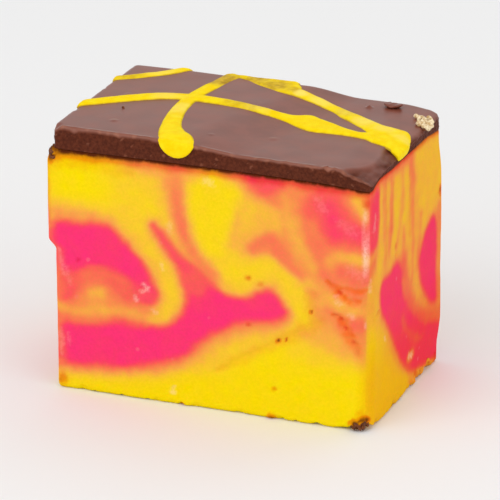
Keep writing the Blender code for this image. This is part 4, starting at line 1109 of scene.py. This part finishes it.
# The chocolate layer: a poured top, cut sides and a burr along the front rim
chocolate = {
    "voxel": 0.18,
    "thick": 3.0,
    "baseRound": 0.1,
    "rimRound": 0.42,
    "overlap": 0.03,         # how far it reaches into the fudge, so that no gap shows
    "topWave": (0.05, 4.0),
    "cutRough": (0.09, 0.55),
    "cutSlow": (0.6, 1.7),
    "cutLeft": 1.6,          # how much rougher the left end is
    "cutFade": (0.12, 0.45),     # where its cut sides turn into the poured top: inwards
    "cutTop": (0.80, 0.97),      # and upwards
    "flecks": (0.50, 0.58, 0.55),
    "rimPale": (0.15, 0.55),
    "burr": 0.16,
    "burrReach": (0.25, 0.75),
    "burrWave": (0.55, 0.9, 1.1),
    "burrGap": (-4.5, 3.6),  # the icing's end lies smoothly over the rim here
    # beyond this line on the top, at the front right, the poured surface falls away
    "facet": [
        (16.3, -13.8, 0.2), (17.3, -12, 0.2), (18.4, -10.7, 0.2), (19.25, -9.3, 0.2),
        (19.5, -7.6, 0.2), (19.4, -6, 0.2), (19, -4.2, 0.2), (18.9, -2.6, 0.2), (19.8, -0.4, 0.2),
        (20.3, 3, 0.2), (20.45, 8, 0.2), (20.6, 12, 0.2),
    ],
    "facetFall": (0.42, 0.8),
    "facetLess": (0.6, -2, 4),   # less towards the back
    "facetRough": 0.10,
    # raised bits: x, y, radius, height
    "bumps": [
        (15, -12.9, 0.75, 0.22), (16.2, -12.8, 0.5, 0.12), (19.6, -12.4, 0.5, 0.1),
        (12.5, 9.8, 0.55, 0.34), (5.5, -5.5, 0.8, 0.06), (-1.5, -8.5, 0.6, 0.05),
        (-14.5, -8.5, 0.7, 0.1), (-17, 1.5, 0.6, 0.08),
    ],
    # notches in the rim: x, y, radius, depth
    "notches": [
        (15.3, -13.2, 0.55, 0.45), (13.2, -13.2, 0.4, 0.25), (18.6, -13.2, 0.5, 0.22),
        (-2, 13.2, 0.6, 0.3), (9.4, 13.2, 0.5, 0.3), (14.4, 13.2, 0.5, 0.25),
        (-12, -13.2, 0.5, 0.25), (-18, -13.2, 0.8, 0.35), (-21.2, -6, 0.9, 0.4),
        (-21.2, 3, 0.7, 0.4), (21.2, 9, 0.6, 0.3), (-20.8, -12.6, 1.2, 0.5),
    ],
}


def makeChocolate():
    thick = chocolate["thick"]
    piece = roundedBox("chocolateLayer", (block["length"], block["depth"], thick),
                       chocolate["baseRound"], chocolate["rimRound"], chocolate["voxel"])
    points = readPoints(piece)
    x, y, z = points.T
    side, gap = sideOf(x, y)
    base = layerLine(x, y) - chocolate["overlap"]
    share = z / thick
    top = topLine(x, y)
    waveFar, waveSize = chocolate["topWave"]
    top = top + waveFar * wander(x, y, 47.3, waveSize) * softStep(0, 2, gap)
    for sign, spots in ((1, chocolate["bumps"]), (-1, chocolate["notches"])):
        for a, b, radius, high in spots:
            top = top + sign * high * nearSpot(x, y, a, b, radius)
    line = smoothPath(chocolate["facet"], False)
    away = np.full(x.shape, 99.0)
    right = np.zeros(x.shape, bool)
    for start, end in zip(line, line[1:]):
        distance = nearestOn(x, y, start, end)[1]
        way = end[:2] - start[:2]
        right = np.where(distance < away, (x - start[0]) * way[1] > (y - start[1]) * way[0], right)
        away = np.minimum(away, distance)
    fall, reach = chocolate["facetFall"]
    fallen = softStep(0, reach, away) * right
    less, low, high = chocolate["facetLess"]
    top = top - fall * fallen * (1 - less * softStep(low, high, y))
    top = top + chocolate["facetRough"] * fallen * wander(x * 1.4, y, 5.6, 0.9)
    gapMiddle, gapHalf = chocolate["burrGap"]
    rim = (1 - softStep(*chocolate["burrReach"], gap)) * (side == 0)
    rim = rim * softStep(gapHalf - 0.8, gapHalf, np.abs(x - gapMiddle))
    level, far, size = chocolate["burrWave"]
    top = top + chocolate["burr"] * rim * (level + far * wander(x, y, 3.3, size))
    height = base + (top - base) * share
    movedX, movedY = moveSides(x, y, np.full(x.shape, block["fudgeHeight"]))
    movedX = movedX + block["chocolateShort"] * (0.5 - x / block["length"])
    onCut = (1 - softStep(0.1, 0.5, gap)) * softStep(0.02, 0.2, share)
    onCut = onCut * (1 - softStep(0.86, 1.0, share))
    roughFar, roughSize = chocolate["cutRough"]
    rough = 0.5 + speckle(points, roughSize, 13.0) + uneven(points, chocolate["cutSlow"], 19.0)
    out = -roughFar * onCut * rough * (1 + chocolate["cutLeft"] * (side == 3))
    movedX += outward[side, 0] * out
    movedY += outward[side, 1] * out
    writePoints(piece, np.column_stack([movedX, movedY, height]))
    cut = 1 - softStep(*chocolate["cutFade"], gap)
    cut = cut * (1 - softStep(*chocolate["cutTop"], share))
    fallen = fallen * softStep(0.8, 0.95, share)
    torn = 0.62 + 0.5 * wander(x * 2.2, y, 9.0, 1.6) + 0.3 * softStep(0, 4, y)
    paint(piece, "cutSide", np.maximum(np.maximum(cut, share < 0.05), fallen * torn))
    least, full, size = chocolate["flecks"]
    flecks = softStep(least, full, speckle(points, size, 29.0)) * cut
    # a painted highlight along the rim, except at the right end, broken up, with the pale flecks
    rimEdge = 1 - softStep(*chocolate["rimPale"], gap)
    rimEdge = rimEdge * softStep(0.80, 0.95, share) * (side != 1)
    rimHighlight = rimEdge * (0.35 + 0.65 * softStep(0.1, 0.45, wander(x, y, 8.8, 0.8)))
    paint(piece, "paleFlecksAndRimHighlight", np.maximum(0.45 * flecks, rimHighlight))
    placePiece(piece, "chocolate", "chocolate")
    piece.data.materials.append(chocolateFinish())
    print("chocolate layer:", len(piece.data.polygons), "faces")


# The drizzled icing: closed outlines of what is poured on the top, and lines of (x, y,
# width, how deep it is sunk) for the rest
icing = {
    "step": 0.14,
    "voxel": 0.11,
    "proud": 0.30,
    "bulge": 0.06,           # how far its cut ends stand out of the cut sides
    "sunk": 0.12,
    "base": 0.22,            # how far its underside lies in the chocolate
    "uneven": ((0.03, 1.5), (0.012, 0.5)),
    "thinLow": 0.12,         # how much lower the thin places lie
    "edgeRound": 0.85,
    # how it falls towards the right end and the front, and over what distance
    "endFall": (0.20, 1.2),
    "noseFall": (0.46, 1.9),
    "rightHang": (0.5, 19.8, 21),
    # how its ends fade in: smoothed, bulged, and where nothing is thin any more
    "smoothZones": {"front": (-12.4, -11.4), "right": (19.8, 20.6)},
    "dropZones": {"front": (-13.0, -11.8), "right": (20.0, 21.0)},
    "thickZones": {"front": -11.6, "right": 20.0},
    "thinRim": (0.7, 0.16),
    "thinUneven": (0.12, 0.9),
    "paleUneven": (0.5, 1.4),
    # its two ends hang over like drops: where along, z, half width, half height, how far out
    "drops": {"front": (-4.5, 33.9, 2.6, 1.35, 0.46), "right": (-1.6, 33.4, 2.6, 1.3, 0.26)},
    "outlines": {
        "middle": [(-24, -5.3), (-18.4, -0.2), (-13.6, 3), (-9, 4.1), (-5.6, 4), (-3.7, 3.95),
            (-1.7, 3.6), (0.3, 3.1), (2.3, 2.75), (3.6, 2.6), (4.7, 2.7), (5.6, 3.2), (6.4, 3.75),
            (7.3, 3.9), (8.3, 3.4), (9.5, 2.8), (11, 2.1), (12.4, 1.35), (13.6, 0.9), (14.8, 0.6),
            (16.2, 0.6), (17.6, -2.3), (16.1, -1.6), (14.8, -1.35), (13.3, -1.2), (11.9, -1.25),
            (10.5, -1.4), (9.3, -1.5), (7.9, -1.15), (6.6, -0.5), (5.2, 0.15), (4.2, 0.45),
            (2.8, 0.75), (1.3, 0.9), (-0.2, 1.2), (-1.8, 1.5), (-3.3, 1.6), (-4.8, 1.8), (-9, 1.8),
            (-12.6, 0.9), (-17.4, -2.3), (-24, -7.4)],
        "right": [(2, 10), (2.6, 10.8), (3.9, 10.5), (5.1, 10), (6.4, 9.6), (7.6, 9.1), (9.2, 8.3),
            (10.6, 7.5), (12.2, 6.6), (13.8, 5.6), (15, 4.9), (16.4, 4.1), (17.6, 3.9),
            (18.7, 3.85), (19.7, 3.8), (20.3, 3.2), (20.7, 2), (21, 0.6), (21.6, -0.8),
            (22.2, -2.2), (21.4, -3.5), (20.3, -3.1), (18.9, -2.5), (17.2, -2.1), (15.9, 0.2),
            (14.5, 1.8), (13.2, 2.8), (11.7, 4.1), (10.2, 5.1), (8.7, 6.4), (7.3, 7.1), (6, 7.6),
            (4.8, 7.9), (3.6, 8.2), (2.6, 8.5), (1.9, 8.9)],
        "back": [(-7, 12.7), (-5, 11.9), (-3.5, 10.9), (-2.2, 10.3), (-0.8, 9.6), (1.2, 8.8),
            (2.6, 8.6), (3.2, 9.6), (2.7, 11.6), (1.9, 12.6), (1.6, 14), (-3, 14), (-6.8, 14)],
    },
    "lines": {
        "front": [(-4.4, -15, 4.7, 1.9), (-4.5, -13, 4.6, 1.8), (-5, -11.6, 4.3, 1.2),
            (-6.1, -10.1, 3.5, 0.7), (-7.3, -7.4, 2.6, 0.5), (-8.5, -2.5, 2.2, 0.5),
            (-8.9, 3, 2.1, 0.5), (-8.1, 9, 2.2, 0.5), (-6.8, 15, 2.4, 0.5)],
        "left": [(-24, 4.9, 1.4, 0.5), (-19.5, 7.8, 1.7, 0.5), (-15.5, 10.9, 1.6, 0.5),
            (-12.6, 15, 1.5, 0.5)],
    },
    # where it is piled higher: x, y, radius, height
    "swells": [
        (7.6, 1.5, 2.6, 0.07), (3.1, 9.5, 1.3, 0.12), (19.8, 0.6, 2.6, 0.06),
        (-5, -11.5, 2.4, 0.08),
    ],
    # where it lies thin over the chocolate: x, y, radius, how thin
    "thinSpots": [
        (-7.6, 10.6, 3.6, 0.8), (-3.6, 12, 2.6, 0.7), (-0.6, 10.8, 3, 0.66), (-19.6, 7.6, 3, 0.4),
        (-1.6, 2.6, 4, 0.36), (2, 10, 1.6, 0.45), (10.6, 6.6, 2.6, 0.18),
    ],
    # creamier places, and a painted highlight on the fold at (3.4, 9.2): x, y, radius, how much
    "creamAndHighlightSpots": [
        (3.4, 9.2, 1.3, 0.6), (6.5, 8.4, 2.6, 0.4), (0.4, 2.4, 2.4, 0.3), (10.5, 6.4, 2, 0.25),
        (14, 4.4, 2.6, 0.42), (17, 2.6, 1.8, 0.35), (20, 1.2, 1.8, 0.3), (-12, 2.2, 3, 0.3),
        (-8.6, -2, 3, 0.35), (-16, 10.4, 3, 0.3),
    ],
}


def endFalls(x, y):
    # how far the icing has come down near its two ends
    fall, reach = icing["endFall"]
    right = np.clip((x - halfLength + reach) / reach, 0, 1)
    noseFall, noseReach = icing["noseFall"]
    front = np.clip((-halfDepth + noseReach - y) / noseReach, 0, 1)
    return fall * (1 - np.sqrt(1 - right ** 2)) + noseFall * (1 - np.sqrt(1 - front ** 2))


def icingProfile(x, y):
    # how far the icing stands above the chocolate and reaches below it
    above = np.full(x.shape, -0.6)
    below = np.zeros(x.shape)
    for outline in icing["outlines"].values():
        inside = insidePool(x, y, smoothPath(outline, True, 3))
        dome = (1 - (1 - np.clip(inside / icing["edgeRound"], 0, 1)) ** 2) ** 0.6
        above = np.maximum(above, np.where(inside > 0, icing["proud"] * dome, inside))
        below = np.maximum(below, icing["sunk"] * dome)
    for places in icing["lines"].values():
        path = smoothPath(places, False)
        inside, half = insideVein(x, y, path)
        nearest = np.clip(inside / half, 0, 1)
        dome = (1 - (1 - nearest) ** 2) ** 0.7
        rise = np.where(inside > 0, icing["proud"] * dome * np.clip(half, 0.5, 1.2) ** 0.5, inside)
        above = np.maximum(above, rise)
        sunk = np.zeros(x.shape)
        for start, end in zip(path, path[1:]):
            share, away = nearestOn(x, y, start, end)
            here = start[3] + (end[3] - start[3]) * share
            sunk = np.where(away < half - inside + 1e-6, here, sunk)
        below = np.maximum(below, np.where(inside > 0, sunk * dome, 0))
    above = np.where(above > 0.15, np.maximum(above - endFalls(x, y), 0.15), above)
    lower, low, high = icing["rightHang"]
    below = below + lower * softStep(low, high, x) * (below > 0)
    for a, b, radius, high in icing["swells"]:
        above = above + high * nearSpot(x, y, a, b, radius) * (above > 0.1)
    return above, below


def dropOut(along, z, end):
    middle, level, wide, tall, far = icing["drops"][end]
    near = 1 - ((along - middle) / wide) ** 2 - ((z - level) / tall) ** 2
    return far * np.sqrt(np.clip(near, 0, 1))


def makeIcing():
    # a flat grid over the top, cut down to the lines, given its thickness and rounded
    bpy.ops.object.select_all(action="DESELECT")
    reachX, reachY = halfLength + icing["bulge"], halfDepth + icing["bulge"]
    bpy.ops.mesh.primitive_grid_add(x_subdivisions=round(2 * reachX / icing["step"]),
                                    y_subdivisions=round(2 * reachY / icing["step"]),
                                    size=1, location=(0, 0, 0))
    piece = bpy.context.object
    piece.name = "drizzledIcing"
    piece.scale = (2 * reachX, 2 * reachY, 1)
    bpy.ops.object.transform_apply(location=True, rotation=False, scale=True)
    points = readPoints(piece)
    above, below = icingProfile(points[:, 0], points[:, 1])
    mesh = piece.data
    bpy.context.tool_settings.mesh_select_mode = (True, False, False)
    for part in (mesh.edges, mesh.polygons):
        part.foreach_set("select", [False] * len(part))
    mesh.vertices.foreach_set("select", (above < -0.16).tolist())
    bpy.ops.object.mode_set(mode="EDIT")
    bpy.ops.mesh.delete(type="VERT")
    bpy.ops.mesh.select_all(action="SELECT")
    bpy.ops.mesh.extrude_region_move(TRANSFORM_OT_translate={"value": (0, 0, -1)})
    bpy.ops.mesh.select_all(action="SELECT")
    bpy.ops.mesh.normals_make_consistent(inside=False)
    bpy.ops.object.mode_set(mode="OBJECT")
    points = readPoints(piece)
    x, y, z = points.T
    above, below = icingProfile(x, y)
    level = topLine(x, y)
    height = np.where(z > -0.5, level + above, level - icing["base"] - below)
    writePoints(piece, np.column_stack([x, y, height]))
    applyModifier(piece, "REMESH", mode="VOXEL", voxel_size=icing["voxel"], adaptivity=0,
                  use_smooth_shade=True)
    applyModifier(piece, "SMOOTH", factor=0.6, iterations=4)
    points = readPoints(piece)
    # the two ends are smoothed further, so that they are round like drops
    ends = np.maximum(1 - softStep(*icing["smoothZones"]["front"], points[:, 1]),
                      softStep(*icing["smoothZones"]["right"], points[:, 0]))
    group = piece.vertex_groups.new(name="ends")
    for index in np.flatnonzero(ends > 0.01).tolist():
        group.add([index], float(ends[index]), "REPLACE")
    applyModifier(piece, "SMOOTH", factor=0.6, iterations=10, vertex_group="ends")
    piece.vertex_groups.clear()
    points = readPoints(piece)
    x, y, z = points.T
    slow, fine = icing["uneven"]
    wave = uneven(points, slow, 31.0) + uneven(points, fine, 37.0)
    thin = np.zeros(x.shape)
    for a, b, radius, most in icing["thinSpots"]:
        away = np.hypot(x - a, y - b)
        thin = np.maximum(thin, most * (1 - softStep(0.3 * radius, radius, away)))
    rise = z - topLine(x, y) + endFalls(x, y)
    onEnds = (y < icing["thickZones"]["front"]) | (x > icing["thickZones"]["right"])
    most, reach = icing["thinRim"]
    thinness = np.maximum(thin, most * (1 - softStep(0.0, reach, rise)) * ~onEnds)
    mottled = uneven(points, icing["thinUneven"], 43.0) * (thin > 0.05)
    paint(piece, "thinness", thinness + mottled)
    # creamier places and a painted highlight on the raised fold
    pale = np.zeros(x.shape)
    blurred = 1 + uneven(points, icing["paleUneven"], 53.0)
    for a, b, radius, most in icing["creamAndHighlightSpots"]:
        away = np.hypot(x - a, y - b) * blurred
        pale = np.maximum(pale, most * (1 - softStep(0.2 * radius, radius, away)))
    paint(piece, "creamAndHighlight", pale * softStep(0.02, 0.2, rise))
    z = z + wave - icing["thinLow"] * thin
    # the two ends bulge like drops
    outFront = dropOut(x, z, "front") * (1 - softStep(*icing["dropZones"]["front"], y))
    outRight = dropOut(y, z, "right") * softStep(*icing["dropZones"]["right"], x)
    x, y = x + outRight, y - outFront
    height = np.full(x.shape, block["fudgeHeight"])
    movedX, movedY = moveSides(x, y, height)
    movedX = movedX + block["chocolateShort"] * (0.5 - x / block["length"])
    writePoints(piece, np.column_stack([movedX, movedY, z]))
    placePiece(piece, "icing", "chocolate")
    piece.data.materials.append(icingFinish())
    print("drizzled icing:", len(piece.data.polygons), "faces")


# Loose bits: each kind is one piece, scattered by a seeded draw round named places
crumbs = {
    "goldSeed": 5,
    "goldSpots": [
        (19.7, 8.9, 0.34), (20.4, 9.9, 0.38), (21, 9.1, 0.42), (21.1, 8.5, 0.35), (20.5, 8.3, 0.4),
        (20.9, 7.4, 0.42), (20.2, 7.1, 0.3),
    ],
    "goldCount": 34,
    "goldSize": (0.18, 0.52),
    "goldEdge": 21.3,            # none lies beyond this
    "cocoaSeed": 9,
    # x, y, z, spread, smallest and largest size
    "cocoaSpots": [
        (19.1, -12.9, 0.55, 0.35, 0.16, 0.3), (19.8, -12.6, 0.75, 0.3, 0.2, 0.34),
        (20.2, -12.2, 0.85, 0.25, 0.14, 0.28),
    ],
    "cocoaCount": 24,
    "cocoaScatter": 0.15,
    "cocoaEdges": (20.9, -12.9),
    "topBits": [
        (20.6, 7.9, 0.3), (20.2, 7.5, 0.32), (20.9, 6.8, 0.26), (19.9, 8, 0.22),
        (15.2, -12.6, 0.2), (-15.4, -3.6, 0.2),
    ],
    # broken bits on the ledge over the left end: x, y, z, size
    "ledgeBits": [
        (-21.2, -12.7, 31.5, 0.45), (-21.4, -12.4, 31, 0.4), (-21, -12.9, 30.9, 0.3),
        (-21.3, -11.6, 31.9, 0.38), (-21.3, -10, 32, 0.3), (-21.4, -7.6, 32, 0.4),
        (-21.2, -6.8, 32, 0.26), (-21.4, -3, 32, 0.36), (-21.2, 0.8, 32, 0.3),
        (-21.3, 1.5, 31.8, 0.42), (-21.2, 5.6, 32, 0.34), (-21.1, 9.2, 32, 0.38),
        (-21.1, 10, 31.9, 0.24),
    ],
}


def makeCrumb(name, place, size, seed):
    # one broken crumb: a ball squashed and dented into facets
    draw = np.random.default_rng(seed)
    bpy.ops.object.select_all(action="DESELECT")
    bpy.ops.mesh.primitive_ico_sphere_add(subdivisions=2, radius=1, location=(0, 0, 0))
    piece = bpy.context.object
    piece.name = name
    points = readPoints(piece)
    rough = 1 + 0.55 * speckle(points, 0.9, draw.uniform(0, 90))
    stretch = size * draw.uniform(0.55, 1.25, 3)
    turn = np.array(Euler(draw.uniform(0, 6.28, 3)).to_matrix())
    writePoints(piece, (points * rough[:, None] * stretch) @ turn.T + np.array(place))
    return piece


def joinPieces(name, parts):
    bpy.ops.object.select_all(action="DESELECT")
    for part in parts:
        part.select_set(True)
    bpy.context.view_layer.objects.active = parts[0]
    bpy.ops.object.join()
    parts[0].name = name
    return parts[0]


def makeGoldCrumbs():
    draw = np.random.default_rng(crumbs["goldSeed"])
    parts = []
    for index in range(crumbs["goldCount"]):
        a, b, spread = crumbs["goldSpots"][index % len(crumbs["goldSpots"])]
        x, y = a + draw.normal(0, spread * 0.6), b + draw.normal(0, spread * 0.6)
        x = min(x, crumbs["goldEdge"])
        level = topAt(x, y)
        size = draw.uniform(*crumbs["goldSize"])
        parts.append(makeCrumb("goldBit", (x, y, level + size * 0.5), size, 100 + index))
    piece = joinPieces("goldCrumbs", parts)
    placePiece(piece, "icing")
    piece.data.materials.append(crumbFinish("goldCrumb", (1.0, 0.86, 0.58), (0.60, 0.38, 0.16)))
    print("gold crumbs:", len(parts))


def makeCocoaCrumbs():
    draw = np.random.default_rng(crumbs["cocoaSeed"])
    apart, (right, front) = crumbs["cocoaScatter"], crumbs["cocoaEdges"]
    parts = []
    for index in range(crumbs["cocoaCount"]):
        x, y, z, spread, least, most = crumbs["cocoaSpots"][index % len(crumbs["cocoaSpots"])]
        size = draw.uniform(least, most)
        place = (min(x + draw.normal(0, spread), right), max(y + draw.normal(0, apart), front),
                 max(z + draw.normal(0, apart), size * 0.9 + 0.1))
        parts.append(makeCrumb("cocoaBit", place, size, 300 + index))
    for index, (x, y, size) in enumerate(crumbs["topBits"]):
        level = topAt(x, y)
        parts.append(makeCrumb("cocoaBit", (x, y, level + 0.05 * size), size, 400 + index))
    for index, (x, y, z, size) in enumerate(crumbs["ledgeBits"]):
        parts.append(makeCrumb("cocoaBit", (x, y, z), size, 500 + index))
    piece = joinPieces("cocoaCrumbs", parts)
    placePiece(piece, "chocolate")
    piece.data.materials.append(crumbFinish("cocoaCrumb", (0.20, 0.055, 0.012),
                                            (0.08, 0.022, 0.007)))
    print("cocoa crumbs:", len(parts))


flake = {
    "size": (2.9, 1.9, 0.75),
    "place": (15.3, 10.9, 0.1),
    "curl": 0.11,
    "tilt": 0.1,
    "lift": 0.35,
    "rough": (0.12, 0.6),
    "stuckDown": 0.2,
}


def makeFlake():
    # the curled flake near the back of the top, a squashed ring segment stuck down
    bpy.ops.object.select_all(action="DESELECT")
    bpy.ops.mesh.primitive_cube_add(size=1, location=(0, 0, 0))
    piece = bpy.context.object
    piece.name = "chocolateFlake"
    applyModifier(piece, "SUBSURF", levels=4, render_levels=4)
    points = readPoints(piece)
    x, y, z = (points * np.array(flake["size"])).T
    z = z + flake["lift"] + flake["curl"] * x ** 2 - flake["tilt"] * y
    shaped = np.column_stack([x, y, z]) + np.array(flake["place"])
    shaped += uneven(shaped, flake["rough"], 3.0)[:, None]
    shaped[:, 2] += topLine(shaped[:, 0], shaped[:, 1]) - flake["stuckDown"]
    writePoints(piece, shaped)
    placePiece(piece, "chocolate")
    piece.data.materials.append(chocolateFinish())
    print("chocolate flake")


makeFudge()
makeChocolate()
makeIcing()
makeGoldCrumbs()
makeCocoaCrumbs()
makeFlake()

# The plain pale floor, the soft light and the view of the photograph
studio = {
    "floorSide": 4.0,
    "floorTone": (0.86, 0.86, 0.86, 1.0),
    "skyStrength": 0.78,
    "azimuth": 21.2,
    "elevation": 21.0,
    "distance": 0.575,
    "lens": 328.0,
    "aim": (0.0005, 0.0, 0.0168),
    # name, azimuth and elevation from the block, distance, side, power
    "lamps": [("key", -25.0, 38.0, 0.60, 0.50, 1.05), ("fill", 68.0, 28.0, 0.70, 0.60, 0.80),
              ("rear", 165.0, 50.0, 0.70, 0.50, 0.45)],
}


def placeRound(azimuth, elevation, distance):
    turn, rise = math.radians(azimuth), math.radians(elevation)
    direction = Vector((math.sin(turn) * math.cos(rise), -math.cos(turn) * math.cos(rise),
                        math.sin(rise)))
    return Vector(studio["aim"]) + direction * distance, direction


bpy.ops.mesh.primitive_plane_add(size=studio["floorSide"], location=(0, 0, 0))
floor = bpy.context.object
floor.name = "floor"
floorMaterial = bpy.data.materials.new("paleFloor")
floorMaterial.use_nodes = True
floorShader = floorMaterial.node_tree.nodes["Principled BSDF"]
floorShader.inputs["Base Color"].default_value = studio["floorTone"]
floorShader.inputs["Roughness"].default_value = 0.9
floorShader.inputs["Specular IOR Level"].default_value = 0.1
floor.data.materials.append(floorMaterial)

world = bpy.data.worlds.new("studioSky")
world.use_nodes = True
sky = world.node_tree.nodes["Background"]
sky.inputs["Color"].default_value = (1.0, 1.0, 1.0, 1.0)
sky.inputs["Strength"].default_value = studio["skyStrength"]
bpy.context.scene.world = world

for name, azimuth, elevation, distance, side, power in studio["lamps"]:
    place, direction = placeRound(azimuth, elevation, distance)
    bpy.ops.object.light_add(type="AREA", location=place)
    lamp = bpy.context.object
    lamp.name = name
    lamp.data.size = side
    lamp.data.energy = power
    lamp.rotation_euler = direction.to_track_quat("Z", "Y").to_euler()

place, direction = placeRound(studio["azimuth"], studio["elevation"], studio["distance"])
bpy.ops.object.camera_add(location=place, rotation=direction.to_track_quat("Z", "Y").to_euler())
camera = bpy.context.object
camera.data.lens = studio["lens"]
camera.data.sensor_width = 36.0
camera.data.clip_start = 0.01
camera.data.clip_end = 20.0
bpy.context.scene.camera = camera
bpy.context.scene.view_settings.view_transform = "Standard"
print("floor, light and camera")
